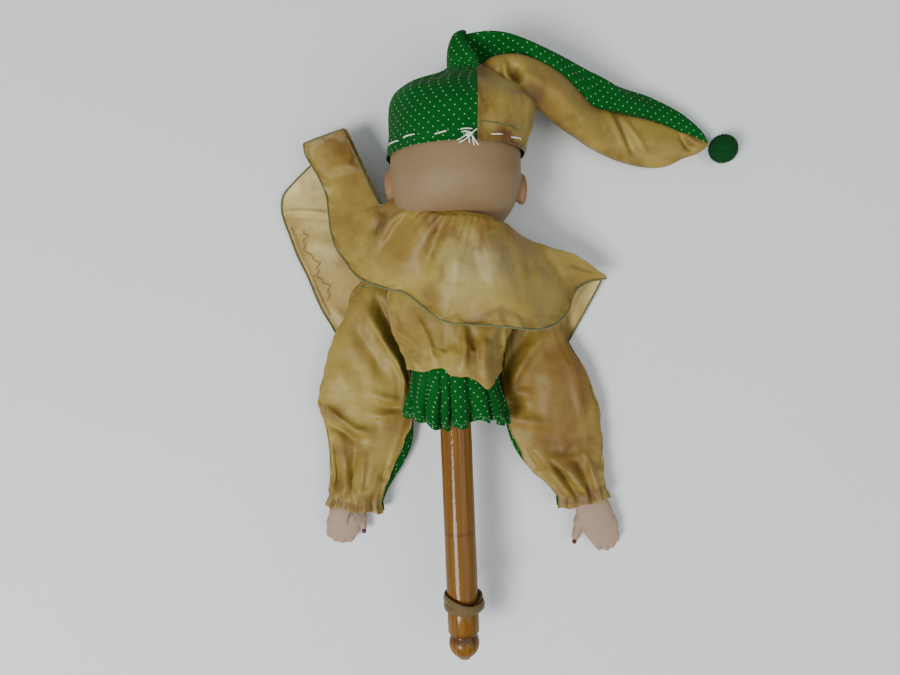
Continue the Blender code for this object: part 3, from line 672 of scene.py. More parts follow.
# %% [markdown]
# ## Threads and cords
#
# Overlocking, basting and loose thread ends are all round cords that follow a line. A tube is laid
# along the points, and a slow swelling turns round it as the ply of a twisted thread does.

# %% Lay a thread along a line
END_TAPER = 0.35               # a cut end is drawn in to this share of the thread


def thread_mesh(path, radius, sides, ply, ply_mm):
    """Points and faces of a tube along the path; ply is how much the twist stands out."""
    path = [np.array(p, dtype=float) for p in path]
    count = len(path)
    verts, faces = [], []
    up = np.array((0.0, 0.0, 1.0))
    travelled = 0.0
    for i, p in enumerate(path):
        before, after = path[max(i - 1, 0)], path[min(i + 1, count - 1)]
        ahead = (after - before) / max(np.linalg.norm(after - before), 1e-9)
        side = np.cross(ahead, up)
        if np.linalg.norm(side) > 0.05:
            side = side / np.linalg.norm(side)
        else:                       # the thread stands upright here, so any side will do
            side = np.array((1.0, 0, 0))
        top = np.cross(side, ahead)
        if i:
            travelled += np.linalg.norm(p - path[i - 1])
        end = END_TAPER if i in (0, count - 1) else 1.0
        for j in range(sides):
            a = 2 * math.pi * j / sides
            r = radius * end * (1 + ply * math.cos(2 * a - 2 * math.pi * travelled / ply_mm))
            verts.append(p + side * r * math.cos(a) + top * r * math.sin(a))
    for i in range(count - 1):
        for j in range(sides):
            k, n = (j + 1) % sides, i + 1
            faces.append((i * sides + j, i * sides + k, n * sides + k, n * sides + j))
    faces.append(tuple(range(sides))[::-1])
    faces.append(tuple((count - 1) * sides + j for j in range(sides)))
    return verts, faces


def threads(name, paths, radius, material, ply=0.12, ply_mm=1.6, sides=8):
    """One object from several lengths of the same thread."""
    verts, faces = [], []
    for path in paths:
        more, sheets = thread_mesh(path, radius, sides, ply, ply_mm)
        start = len(verts)
        verts += more
        faces += [tuple(start + k for k in f) for f in sheets]
    piece = add_mesh(name, verts, faces)
    select_only(piece)
    bpy.ops.object.mode_set(mode="EDIT")
    bpy.ops.mesh.select_all(action="SELECT")
    bpy.ops.mesh.normals_make_consistent(inside=False)
    bpy.ops.object.mode_set(mode="OBJECT")
    piece.data.shade_smooth()
    set_paint(piece, material)
    print(f"{name}: {len(paths)} lengths of thread, {2 * radius:.2f} mm thick")
    return piece


# %% [markdown]
# ## The elastic band
#
# A loop of flat braided elastic has been pushed up the stick and taken round it twice. The two
# turns lie side by side at the left, run down to the right and cross there, so one rides over the
# other. Its section is a flat oval with fine ribs, carried round the stick.

# %% Wind the band twice round the stick
BAND_Y, BAND_HALF, BAND_THICK, BAND_SPREAD = -133.6, 2.2, 0.7, 2.3
CROSSING = 3.25 * math.pi      # how far along its two turns the band rides over itself
BAND_STEPS, BAND_SIDES = 260, 16
band_verts, band_faces = [], []
for i in range(BAND_STEPS):
    a = 4 * math.pi * i / BAND_STEPS
    lift = 1.5 * hump(a, CROSSING, 0.9) + 0.7 * max(0.0, -math.cos(a))
    middle = WOOD_R + 0.35 + BAND_THICK + lift
    sag = 2.4 * hump(a % (2 * math.pi), 1.4 * math.pi, 0.8)
    y = BAND_Y + BAND_SPREAD * math.cos(a / 2 - math.pi / 8) - sag
    lean = 0.12 * math.sin(1.5 * a + 0.6)
    for k in range(BAND_SIDES):
        b = 2 * math.pi * k / BAND_SIDES
        ribs = 0.07 * math.cos(5 * b) + 0.05 * math.cos(i * 1.2)
        out, wide = (BAND_THICK + ribs) * math.cos(b), (BAND_HALF + ribs) * math.sin(b)
        r = middle + out * math.cos(lean) - wide * math.sin(lean)
        band_verts.append((-r * math.cos(a), y + wide * math.cos(lean) + out * math.sin(lean),
                           HANDLE_Z - r * math.sin(a)))
for i in range(BAND_STEPS):
    n = (i + 1) % BAND_STEPS
    for k in range(BAND_SIDES):
        m = (k + 1) % BAND_SIDES
        band_faces.append((i * BAND_SIDES + k, i * BAND_SIDES + m, n * BAND_SIDES + m,
                           n * BAND_SIDES + k))

# %% Close its surface and put it on the stick
elastic_loop = add_mesh("elastic_loop", band_verts, band_faces)
select_only(elastic_loop)
bpy.ops.object.mode_set(mode="EDIT")
bpy.ops.mesh.select_all(action="SELECT")
bpy.ops.mesh.normals_make_consistent(inside=False)
bpy.ops.object.mode_set(mode="OBJECT")
elastic_loop.data.shade_smooth()
set_paint(elastic_loop, elastic_cover)
fit(elastic_loop, "band", "elastic", "elastic_band")

# %% [markdown]
# ## The head
#
# The head is slip-cast bisque: round and full at the crown, drawn in at the nape. A sphere gives an
# even skin. Each of its rings is moved to the head's own outline, and low bumps are raised for the
# nose, lips, brows and chin. The ears are separate balls, hollowed a little, and a voxel remesh
# welds them on. The face is a plain doll's face of our own.

# %% Shape the head
HEAD_RINGS = [(42, 15, 15), (48.5, 15, 15), (52, 19.0, 16.6), (56, 24.2, 20.2), (61, 28.0, 24.4),
              (67, 30.5, 28.0), (75, 32.0, 30.6), (84, 32.5, 31.4), (93, 32.4, 31.4),
              (102, 31.0, 29.8), (110, 27.6, 26.6), (117, 21.8, 21.0), (122, 14.6, 14.0),
              (125, 7.8, 7.5), (126, 0.4, 0.4)]
HEAD_X, HEAD_Z, NECK_X, NECK_Z = 5.2, 33.5, 2.0, 29.5
NAPE_Y, CROWN_Y = HEAD_RINGS[0][0], HEAD_RINGS[-1][0]
NECK_OPENING = 0.0435          # metres along Y, where the casting is open


def ring_at(rows, y):
    """Values of a table of rings at a distance y."""
    ys = [r[0] for r in rows]
    k = min(max(int(np.searchsorted(ys, y)) - 1, 0), len(rows) - 2)
    u = (y - ys[k]) / (ys[k + 1] - ys[k])
    return smooth_rows(rows, (k + min(max(u, 0), 1)) / (len(rows) - 1))[1:]


def face_relief(x, y):
    """How far the face stands out at (x, y), measured from its middle line at y = 83."""
    out = 2.2 * hump(x, 0, 3.0) * hump(y, 81.0, 3.2) + 1.2 * hump(x, 0, 2.2) * hump(y, 87.0, 5.0)
    out += 1.1 * hump(x, 0, 5.5) * hump(y, 71.5, 1.2) + 1.2 * hump(x, 0, 4.5) * hump(y, 69.0, 1.3)
    out += 1.5 * hump(x, 0, 7.0) * hump(y, 61.5, 4.5)
    for side in (-1, 1):
        out += -1.6 * hump(x, side * 11.2, 6.0) * hump(y, 89.0, 4.2)
        out += 1.5 * hump(x, side * 11.2, 4.2) * hump(y, 89.0, 2.8)
        out += 0.8 * hump(x, side * 11.4, 6.0) * hump(y, 96.5, 2.2)
        out += 1.1 * hump(x, side * 14.0, 8.0) * hump(y, 75.5, 7.0)
        out += 0.6 * hump(x, side * 2.8, 1.5) * hump(y, 79.6, 1.6)
    return out


# %% Move each ring of a sphere to the head's outline
bpy.ops.object.select_all(action="DESELECT")
bpy.ops.mesh.primitive_uv_sphere_add(segments=128, ring_count=96, radius=1.0,
                                     rotation=(-math.pi / 2, 0, 0))
skull = bpy.context.object
bpy.ops.object.transform_apply(location=True, rotation=True, scale=True)
for v in skull.data.vertices:
    x, y, z = v.co
    share = math.acos(max(-1.0, min(1.0, -y))) / math.pi
    height = NAPE_Y + (CROWN_Y - NAPE_Y) * share
    across, deep = ring_at(HEAD_RINGS, height)
    flat = math.hypot(x, z)
    cx, cz = (x / flat, z / flat) if flat > 1e-6 else (0.0, 0.0)
    if share < 0.004 or share > 0.996:
        cx = cz = 0.0
    slide = min(max((height - 48.5) / 28, 0.0), 1.0)
    slide = slide * slide * (3 - 2 * slide)
    middle_x, middle_z = NECK_X + (HEAD_X - NECK_X) * slide, NECK_Z + (HEAD_Z - NECK_Z) * slide
    low = face_relief(across * cx, height) if cz < 0 else 0.0
    v.co = ((middle_x + across * cx) * MM, height * MM,
            max((middle_z + deep * cz - low * min(1.0, -cz * 1.6)), 0.35) * MM)
skull.data.update()

# %% Add the ears, weld them on and hollow the casting
ear_parts = []
for x, y, lean in ((HEAD_X - 33.2, 78, -1), (HEAD_X + 32.6, 73.5, 1)):
    bpy.ops.object.select_all(action="DESELECT")
    bpy.ops.mesh.primitive_uv_sphere_add(segments=32, ring_count=24, radius=MM,
                                         location=(x * MM, y * MM, 0.0305))
    ear = bpy.context.object
    ear.scale = (3.6, 8.0, 5.6)
    bpy.ops.object.transform_apply(location=True, rotation=True, scale=True)
    for v in ear.data.vertices:
        far = math.hypot((v.co.y / MM - y) / 5.2, (v.co.z / MM - 29.5) / 3.2)
        if (v.co.x / MM - x) * lean > 0.4:
            v.co.x -= lean * 1.9 * MM * math.exp(-far ** 4)
    ear_parts.append(ear)
select_only(skull)
for ear in ear_parts:
    ear.select_set(True)
bpy.ops.object.join()
skull.name = "bisque_head"
weld = skull.modifiers.new("weld", "REMESH")
weld.mode = "VOXEL"
weld.voxel_size = 0.75 * MM
relax = skull.modifiers.new("relax", "SMOOTH")
relax.factor = 0.5
relax.iterations = 3
apply_modifiers(skull)
bpy.ops.object.mode_set(mode="EDIT")
bpy.ops.mesh.select_all(action="SELECT")
bpy.ops.mesh.bisect(plane_co=(0, NECK_OPENING, 0), plane_no=(0, -1, 0), clear_outer=True)
bpy.ops.object.mode_set(mode="OBJECT")
wall = skull.modifiers.new("wall", "SOLIDIFY")
wall.thickness = 2.4 * MM
wall.offset = -1.0
apply_modifiers(skull)
skull.data.shade_smooth()
set_paint(skull, bisque_head)
fit(skull, "puppet", "bisque", "head")
print("head:", len(skull.data.polygons), "faces")

# %% [markdown]
# ## The hands
#
# The hands are solid bisque, cast in two-part moulds: a closed mitten of fingers with soft grooves
# between them, and a thumb that stands a little apart. Flattened balls are set out as palm, fingers
# and thumb, and a fine voxel remesh welds them into one casting.

# %% Set out and weld the two hands


def weld_balls(name, balls, voxel=0.38, smooths=4):
    """balls are (centre, half sizes, turn about Z in degrees), in millimetres."""
    made = []
    for centre, half, turn in balls:
        bpy.ops.object.select_all(action="DESELECT")
        bpy.ops.mesh.primitive_uv_sphere_add(segments=32, ring_count=20, radius=MM,
                                             location=tuple(c * MM for c in centre),
                                             rotation=(0, 0, math.radians(turn)))
        ball = bpy.context.object
        ball.scale = half
        bpy.ops.object.transform_apply(location=True, rotation=True, scale=True)
        made.append(ball)
    select_only(made[0])
    for ball in made[1:]:
        ball.select_set(True)
    bpy.ops.object.join()
    piece = made[0]
    piece.name = name
    weld = piece.modifiers.new("weld", "REMESH")
    weld.mode = "VOXEL"
    weld.voxel_size = voxel * MM
    relax = piece.modifiers.new("relax", "SMOOTH")
    relax.iterations = smooths
    apply_modifiers(piece)
    piece.data.shade_smooth()
    return piece


# %% Palm, fingers, knuckles and thumb


def make_hand(name, wrist, aim_deg, reach, palm_half, finger_half, thumb_from, thumb_to):
    """A mitten hand that points aim_deg from straight down and is reach millimetres long."""
    aim = math.radians(aim_deg)
    along = np.array((math.sin(aim), -math.cos(aim)))
    across = np.array((math.cos(aim), math.sin(aim)))
    balls = []

    def put(down, aside, z, half):
        x, y = np.array(wrist) + along * down + across * aside
        balls.append(((x, y, z), half, aim_deg))

    put(-8.5, 0, 8.8, (4.8, 7.5, 3.5))
    put(0.0, 0, 8.6, (5.0, 6.0, 3.5))
    put(reach * 0.36, 0, 7.3, (palm_half, reach * 0.36, 3.7))
    put(reach * 0.58, 0, 6.1, (palm_half, reach * 0.32, 3.4))
    put(reach * 0.74, 0, 5.0, (finger_half * 0.94, reach * 0.24, 2.3))
    for side, short in ((-1.5, 0.95), (-0.5, 1.0), (0.5, 0.99), (1.5, 0.93)):
        put(reach * 0.72 * short, side * finger_half * 0.45, 5.2,
            (finger_half * 0.3, reach * 0.272 * short, 2.7))
        put(reach * 0.55, side * finger_half * 0.5, 8.2 - 0.4 * side * side, (1.6, 2.0, 1.7))
    spot, tip = np.array(thumb_from), np.array(thumb_to)
    run = tip - spot
    length = math.hypot(*run)
    turn = math.degrees(math.atan2(run[0], -run[1]))
    balls.append(((*((spot + tip) / 2), 4.9), (2.7, length / 2 + 1.8, 2.6), turn))
    balls.append(((*(spot + run * 0.1), 5.4), (3.8, 5.6, 3.0), turn))
    return weld_balls(name, balls)


# %% Make both hands
WRIST_LEFT, WRIST_RIGHT = (-57.5, -83.0), (68.0, -85.0)
left_hand = make_hand("bisque_hand_left", WRIST_LEFT, -18.0, 27.0, 9.4, 8.6,
                      (-54.0, -92.5), (-52.0, -101.0))
right_hand = make_hand("bisque_hand_right", WRIST_RIGHT, 22.0, 36.0, 9.6, 8.2,
                       (66.0, -100.5), (62.2, -111.2))
for hand, side in ((left_hand, "left"), (right_hand, "right")):
    set_paint(hand, bisque_hands)
    fit(hand, f"hand_{side}_body", "bisque", f"hand_{side}")
    print(hand.name, len(hand.data.polygons), "faces")

# %% Painted thumbnails: thin shells of plum and dark red enamel
nail_plum = make_fibre("plum_nail_enamel", "#5B1F3F", "#4A1833", 300.0, 0.3, 0.02, 0.0)
nail_red = make_fibre("dark_red_nail_enamel", "#6A141C", "#520E14", 300.0, 0.3, 0.02, 0.0)
for name, spot, turn, paint, side in (("nail_left", (-51.7, -102.4, 5.5), 12, nail_plum, "left"),
                                      ("nail_right", (61.8, -112.7, 5.3), -17, nail_red, "right")):
    nail = weld_balls(name, [(spot, (1.3, 1.6, 1.4), turn)], 0.2, 1)
    set_paint(nail, paint)
    fit(nail, f"hand_{side}_body", "bisque")

# %% [markdown]
# ## Folds
#
# Cloth folds run from where it is held: a gathered seam, a cuff, a corner. Each is drawn as a short
# line in plan, with a width and a height. A crest is positive and a valley is negative.

# %% Sum the folds at a place


def fold_height(lines, x, y, strength=1.0):
    """Sum of all the folds' heights at (x, y), in millimetres."""
    total = 0.0
    for points, width, height in lines:
        nearest, place = 1e9, 0.0
        pieces = len(points) - 1
        for k in range(pieces):
            (ax, ay), (bx, by) = points[k], points[k + 1]
            dx, dy = bx - ax, by - ay
            u = min(max(((x - ax) * dx + (y - ay) * dy) / (dx * dx + dy * dy), 0.0), 1.0)
            far = math.hypot(x - ax - dx * u, y - ay - dy * u)
            if far < nearest:
                nearest, place = far, (k + u) / pieces
        taper = min(1.0, 3.2 * place + 0.15, 3.2 * (1 - place) + 0.15)
        total += height * taper * math.exp(-(nearest / width) ** 2)
    return total * strength


# %% A tube of cloth


def wrap_panel(name, shape, across, along):
    """A tube of cloth: the grid closes on itself, and its UVs run on past the join."""
    points = np.zeros((along + 1, across, 3))
    for i in range(along + 1):
        for j in range(across):
            points[i, j] = shape(j / across, i / along)
    ring = np.linalg.norm(np.roll(points, -1, axis=1) - points, axis=2)
    u = np.concatenate([np.zeros((along + 1, 1)), np.cumsum(ring, axis=1)], axis=1)
    u -= u[:, across // 2][:, None]
    drops = np.linalg.norm(np.diff(points, axis=0), axis=2).mean(axis=1)
    v = np.concatenate([[0.0], np.cumsum(drops)])
    faces, corners = [], []
    for i in range(along):
        for j in range(across):
            k = (j + 1) % across
            faces.append((i * across + j, i * across + k, (i + 1) * across + k,
                          (i + 1) * across + j))
            corners += [(u[i, j], v[i]), (u[i, j + 1], v[i]), (u[i + 1, j + 1], v[i + 1]),
                        (u[i + 1, j], v[i + 1])]
    piece = add_mesh(name, points.reshape(-1, 3), faces)
    layer = piece.data.uv_layers.new(name="cloth")
    for k, corner in enumerate(corners):
        layer.data[k].uv = corner
    return piece


# %% [markdown]
# ## The body of the costume
#
# The back of the body is satin, gathered at the waist and tucked under the collar. Its lower edge
# is turned over the frill in uneven points. The front is green cotton and lies underneath.

# %% Body back and front
TORSO_RINGS = [(-25, 25.5, 22.6), (-14, 24.2, 21.9), (-5, 26.6, 21.4), (6, 30.0, 21.0),
               (18, 32.0, 21.0), (28, 30.0, 20.4), (36, 27.0, 19.5), (41.5, 21.0, 18.0)]
TORSO_X, TORSO_Z = 0.5, 24.0
TORSO_FOLDS = [([(-34, -2), (-25, -8), (-17, -14)], 2.0, 2.2),
               ([(-19, 13), (-13, 1), (-9, -12)], 2.2, 2.4),
               ([(-27, 2), (-19, -6), (-12, -15)], 1.8, -1.8),
               ([(5.5, 8), (6.5, -4), (4, -17)], 1.5, 2.2),
               ([(9, 6), (10, -4), (10.5, -19)], 2.2, -2.2),
               ([(17, 4), (15, -10), (16.5, -24)], 2.6, 2.4),
               ([(24, 4), (22, -8), (20, -20)], 1.8, -2.4),
               ([(-3, 8), (-4, -6), (-4, -16)], 2.0, -1.6),
               ([(27, 0), (27, -10), (25, -19)], 1.6, 1.8),
               ([(-31, 24), (-30, 10), (-32, -2)], 2.0, 1.6)]
TORSO_HEM = [(-22, -15.5), (-16, -16.5), (-10, -14.8), (-5, -14.6), (-2, -18.4), (4, -19.4),
             (7, -19.2), (12, -22.0), (16, -26.5), (19, -24.5), (23, -20.5), (28, -16.0)]


def hem_of(x):
    """Where the lower edge of the back lies at x."""
    xs = [p[0] for p in TORSO_HEM]
    return float(np.interp(x, xs, [p[1] for p in TORSO_HEM]))


def torso_point(s, t, top=True):
    """s runs across from side to side and t from the hem up, on the back or the front."""
    a = math.radians((1.5 + 177 * s) if top else -(1.5 + 177 * s))
    guess_x = TORSO_X + 26 * math.cos(a)
    low = hem_of(guess_x) if top else -14.0
    y = low + (41.0 - low) * t
    hx, hz = ring_at(TORSO_RINGS, y)
    gather = 0.5 + 0.45 * math.exp(-(y + 14) / 9) if y > -14 else 0.8
    pleat = math.sin(26 * s + 1.3 * math.sin(9 * s) + 0.03 * y) + 0.5 * math.sin(47 * s + 2)
    out = 0.55 * gather * pleat
    x = TORSO_X + (hx + out) * math.cos(a)
    z = TORSO_Z + (hz + out) * math.sin(a)
    if top:
        fold = fold_height(TORSO_FOLDS, x, y, 1.3)
        if y < -6:
            fold = max(fold, -0.6)      # the frill and the waist cord lie just under the hem
        z += fold * min(1.0, 2 * math.sin(a))
        z += 0.9 * soft_noise(x * 0.11, y * 0.11, 3.0)
    return x, y, z


# %% Crease a panel that is sewn all round


def rim_pins(piece):
    """Points on the panel's rim, which stay sewn."""
    mesh = bmesh.new()
    mesh.from_mesh(piece.data)
    rim = {v.index for v in mesh.verts if v.is_boundary}
    mesh.free()
    return rim


def crease_panel(piece, grow, reach_mm, frames=14, tied_below=-1000.0, **more):
    """Crease a panel that is sewn down all round, and tied over a cord below a given y."""
    rim = rim_pins(piece)
    spots = {tuple(round(c / MM, 3) for c in piece.data.vertices[i].co) for i in rim}

    def held(p):
        sewn = tuple(round(float(c), 3) for c in p) in spots or p[1] < tied_below
        return 1.0 if sewn else 0.03
    return crease(piece, held, grow, frames, reach_mm, **more)


def build_panel(name, shape, across, along):
    """A panel of cloth whose points come from shape(s, t)."""
    verts, faces, uvs = panel_grid(shape, across, along)
    return add_mesh(name, verts, faces, uvs)


# %% Make the body's back and front
body_back = build_panel("satin_body_back", torso_point, 64, 40)
crease_panel(body_back, 0.05, 1.6, tied_below=-8.0)
finish_cloth(body_back, cream_satin)
fit(body_back, "puppet", "cream_satin", "torso_back")
body_front = build_panel("cotton_body_front", lambda s, t: torso_point(1 - s, t, False), 48, 28)
finish_cloth(body_front, green_cotton)
fit(body_front, "puppet", "green_cotton", "torso_front")

# %% [markdown]
# ## The waist frill
#
# A strip of pin-dot cotton, gathered tight at the waist and let out at its hem, so the pleats widen
# downwards and the hem waves. A line of stitches runs round above the hem.

# %% Frill with its pleats
FRILL_RINGS = [(-11.5, 21.2, 24.0, 19.4), (-17, 21.8, 24.0, 19.9), (-26, 22.2, 22.4, 19.4),
               (-34, 24.4, 21.0, 18.4), (-40, 25.2, 20.4, 17.6), (-44, 25.0, 20.0, 17.0)]


def frill_point(s, t, lift=0.0):
    """s runs once round the waist and t from the gathering down to the hem."""
    a = 2 * math.pi * s - math.pi / 2
    y, hx, cz, hz = smooth_rows(FRILL_RINGS, t)
    place = 16 * a + 1.9 * math.sin(3 * a + 0.6) + 0.9 * math.sin(7 * a)
    deep = 0.2 + 2.7 * min(1.0, max(0.0, t * 1.3 - 0.15))
    wave = math.sin(place)
    valley = math.exp(-(math.sin(place / 2) / 0.3) ** 2)
    pleat = deep * (0.5 - 0.35 * math.cos(place) - 1.7 * valley) + 0.7 * math.sin(9 * a + 1) * t
    y -= 1.5 * t * math.sin(4 * a + 0.8) + 1.1 * t * wave
    y += 5.0 * t * max(0.0, -math.cos(a)) ** 3
    x, z = TORSO_X + (hx + pleat + lift) * math.cos(a), cz + (hz + pleat + lift) * math.sin(a)
    return x, y, max(z, 0.5)


frill = wrap_panel("cotton_waist_frill", frill_point, 300, 22)
finish_cloth(frill, green_cotton)
fit(frill, "puppet", "green_cotton", "peplum")

# %% Stitches round the frill, above its hem
HEM_STITCHES, STITCH_START, STITCH_END = 150, 0.0009, 0.0052   # as shares of the way round
stitch_rows = []
for i in range(HEM_STITCHES):
    a0, a1 = i / HEM_STITCHES + STITCH_START, i / HEM_STITCHES + STITCH_END
    stitch_rows.append([frill_point(a0 + (a1 - a0) * k / 3, 0.88, 0.24) for k in range(4)])
pale_green_thread = make_fibre("pale_green_sewing_thread", "#7FB48A", "#4C8A5C", 1500.0)
frill_stitches = threads("frill_hem_stitches", stitch_rows, 0.16, pale_green_thread, sides=6)
fit(frill_stitches, "puppet", "olive_thread")

# %% [markdown]
# ## The sleeves
#
# Each sleeve is full at the elbow and drawn in at the cuff by a line of elastic, with a short frill
# beyond it. The upper face is satin and the lower face green cotton, seamed along both sides.

# %% Sleeve shapes and their folds
SLEEVE_FLOOR = 1.8
CUFF_SLANT_MM = 5.0
LEFT_RINGS = [(36.4, -37, 3.0, 2.6), (33, -38, 8.6, 5.4), (25, -39, 13.0, 7.0),
              (12, -41.5, 16.0, 7.6), (-1, -44.5, 19.5, 7.9), (-16, -46, 22.8, 8.0),
              (-31, -47.2, 25.4, 7.9), (-42, -46.6, 23.6, 7.7), (-53, -47.5, 20.8, 7.5),
              (-69, -51.5, 16.6, 7.3), (-78, -54.3, 14.6, 7.2), (-82, -55, 14.0, 7.0),
              (-84.5, -55.3, 14.4, 6.9), (-87, -55.8, 15.2, 6.9)]
RIGHT_RINGS = [(36.4, 38, 3.0, 2.6), (33, 38, 8.6, 5.4), (25, 38.5, 13.0, 7.0),
               (12, 41.5, 15.6, 7.6), (-3, 43.8, 17.4, 7.9), (-20, 48.0, 21.8, 8.0),
               (-38, 51.0, 25.2, 7.9), (-54, 54.0, 23.4, 7.6), (-68, 58.0, 19.8, 7.3),
               (-78, 63.4, 14.6, 7.1), (-82.5, 65.8, 13.0, 7.0), (-85, 66.4, 13.2, 6.9),
               (-88.4, 67.0, 14.0, 7.0)]
LEFT_FOLDS = [([(-47, 20), (-37, 2), (-27, -14), (-24, -21), (-27, -34)], 2.2, 3.2),
              ([(-40, 24), (-33, 8), (-25, -10)], 2.4, -2.4),
              ([(-52, 10), (-42, -8), (-33, -24)], 3.2, -1.8),
              ([(-72, -33), (-63, -39), (-53, -47), (-42, -49)], 2.6, 3.0),
              ([(-70, -42), (-60, -47), (-50, -54)], 2.6, -2.8),
              ([(-27, -33), (-36, -31), (-45, -27)], 1.8, 2.0),
              ([(-28, -39), (-36, -40), (-44, -39)], 1.6, 1.8),
              ([(-30, -36), (-40, -35)], 1.6, -1.4),
              ([(-56.5, -84), (-55, -68), (-53, -53)], 1.7, -2.0),
              ([(-64, -82), (-64, -64), (-65, -50)], 1.6, -2.4),
              ([(-60, -84), (-59, -68), (-60, -54)], 2.0, 1.8),
              ([(-48, -86), (-46, -74), (-44, -60)], 2.2, 1.2),
              ([(-52, -86), (-50, -72), (-49, -58)], 1.8, 1.6),
              ([(-43, -86), (-40, -74), (-37, -58)], 1.8, -1.2),
              ([(-60, -10), (-58, -24)], 5.0, 1.2), ([(-50, -12), (-48, -26)], 4.0, -1.0)]
RIGHT_FOLDS = [([(50, 2), (40, -10), (32, -22), (30, -30)], 2.6, 2.6),
               ([(44, 8), (34, -8), (27, -18)], 2.0, -2.0),
               ([(27, -36), (33, -36), (38, -37)], 2.4, -3.4),
               ([(29, -31), (36, -31), (43, -33)], 2.0, 1.8),
               ([(28, -44), (38, -46), (50, -48)], 2.8, 1.8),
               ([(56, -66), (61, -76), (67, -86)], 1.7, 2.2),
               ([(44, -67), (52, -77), (60, -87)], 1.8, 2.2),
               ([(50, -67), (57, -77), (63, -87)], 1.5, -2.2),
               ([(62, -66), (66, -76), (71, -87)], 1.5, -2.0),
               ([(68, -64), (71, -75), (75, -86)], 1.6, 1.6),
               ([(38, -60), (47, -72), (55, -86)], 1.6, -1.6),
               ([(62, -8), (66, -28), (68, -50)], 3.2, 1.3),
               ([(40, -60), (55, -61), (72, -60)], 3.6, -1.1),
               ([(52, -10), (50, -30), (52, -50)], 5.0, 1.0)]


# %% A point on a sleeve


def sleeve_point(rows, lines, s, t, top, hand_side):
    """s runs across from seam to seam and t from shoulder to cuff; hand_side is -1 or 1."""
    y0, cx, hx, hz = smooth_rows(rows, t)
    a = math.pi * (0.012 + 0.976 * s)
    gather = math.exp(-((y0 + 84) / 5.0) ** 2)
    pull = math.exp(-((y0 + 82.5) / 1.8) ** 2)
    pleat = math.sin(38 * s + 2 * math.sin(5 * s) + hand_side) + 0.4 * math.sin(71 * s)
    out = (0.25 + 0.75 * gather) * pleat * 0.75 - 0.5 * pull
    # Under the wrist the cuff lies flatter, which leaves room for the hand to tip.
    c, w = math.cos(a), math.sin(a) ** (0.82 if top else 0.82 - 0.34 * gather)
    x = cx + (hx + out * abs(c)) * c
    if not top:
        # The green shows past the satin along the inner edge, where the sleeve has rolled.
        roll, middle = (6.6, -61) if hand_side < 0 else (3.8, -60)
        from_inside = s if hand_side < 0 else 1 - s
        x -= hand_side * roll * hump(y0, middle, 17) * hump(from_inside, 0.13, 0.09)
    y = y0 - 1.1 * gather * math.sin(19 * s + hand_side)
    # The arm hangs a little outwards, so the cuff is cut lower at its inner side.
    near_cuff = min(max((-60 - y0) / 24, 0.0), 1.0) ** 1.5
    y -= CUFF_SLANT_MM * near_cuff * (0.5 - 0.5 * hand_side * c)
    z = SLEEVE_FLOOR + hz + (hz + out) * w * (1 if top else -0.98)
    if top:
        fold = fold_height(lines, x, y, 1.35)
        if fold < 0:
            fold *= 1 - 0.85 * gather       # the elastic holds the cloth up at the cuff
        z += fold * min(1.0, 1.6 * w)
        broad, small = soft_noise(x * 0.07, y * 0.07, hand_side), soft_noise(x * 0.17, y * 0.14, 5)
        z += (1.1 * broad + 0.6 * small) * w
    return x, y, max(z, 0.6)


# %% Make both sleeves
for side, rows, lines, sign in (("left", LEFT_RINGS, LEFT_FOLDS, -1),
                                ("right", RIGHT_RINGS, RIGHT_FOLDS, 1)):
    def satin_shape(s, t):
        return sleeve_point(rows, lines, 1 - s, t, True, sign)

    def cotton_shape(s, t):
        return sleeve_point(rows, lines, s, 0.986 * t, False, sign)

    upper = build_panel(f"satin_sleeve_{side}", satin_shape, 46, 84)
    crease_panel(upper, 0.07, 2.0, tied_below=-78.5)
    finish_cloth(upper, cream_satin)
    lower = build_panel(f"cotton_sleeve_{side}", cotton_shape, 40, 60)
    finish_cloth(lower, green_cotton)
    for piece, slot, face in ((upper, "cream_satin", "back"), (lower, "green_cotton", "front")):
        shoulder, upper_arm = (sign * 37, 38, 8.5), (sign * 44, 8, 8.5)
        fit_between(piece, "puppet", f"arm_{side}", shoulder, upper_arm, slot,
                    f"sleeve_{face}_{side}")

# %% [markdown]
# ## The lower collar layer
#
# The wide collar is two layers of satin. This one lies under the body, spread on the table. Its
# outline is a table of angle and radius about the neck. On the left a pleat is stitched in from the
# edge, and below it the cloth shows its wrong side, with a turned hem and a loose raw edge.

# %% Spread the lower layer
COLLAR_X, COLLAR_Y = 0.0, 52.0
LOWER_RIM = [(131, 79.5, 15.0), (139, 82, 11.0), (148, 84, 6.5), (156, 89, 4.0), (162, 93, 3.0),
             (167, 92, 2.6), (171, 89.5, 2.0), (176, 86, 1.6), (184, 82, 1.4), (191, 79, 1.3),
             (198, 78, 1.3), (206, 78, 1.6), (215, 78.5, 1.4), (227, 82, 1.3), (242, 80, 1.6),
             (260, 79, 1.3), (280, 81.5, 1.3), (295, 85, 1.4), (308, 86, 1.3), (318, 85, 1.5),
             (326, 83.5, 1.8), (336, 84, 2.6), (344, 85.5, 5.5)]
LOWER_FOLDS = [([(-90, 71.5), (-78, 71.5), (-62, 70)], 1.0, 2.4),
               ([(-88, 69), (-76, 69), (-62, 67.5)], 1.2, -1.0),
               ([(-84, 64), (-80, 50), (-74, 36), (-66, 22)], 1.2, 0.8),
               ([(-68, 92), (-60, 84), (-55, 76)], 3.0, 1.2),
               ([(-66, 20), (-58, 12), (-52, 6)], 2.6, 1.8),
               ([(66, 4), (70, 18), (78, 27)], 2.4, 2.6),
               ([(60, 0), (64, 14), (72, 25)], 2.0, -1.4),
               ([(-74, 56), (-64, 52), (-56, 50)], 4.5, 1.6)]


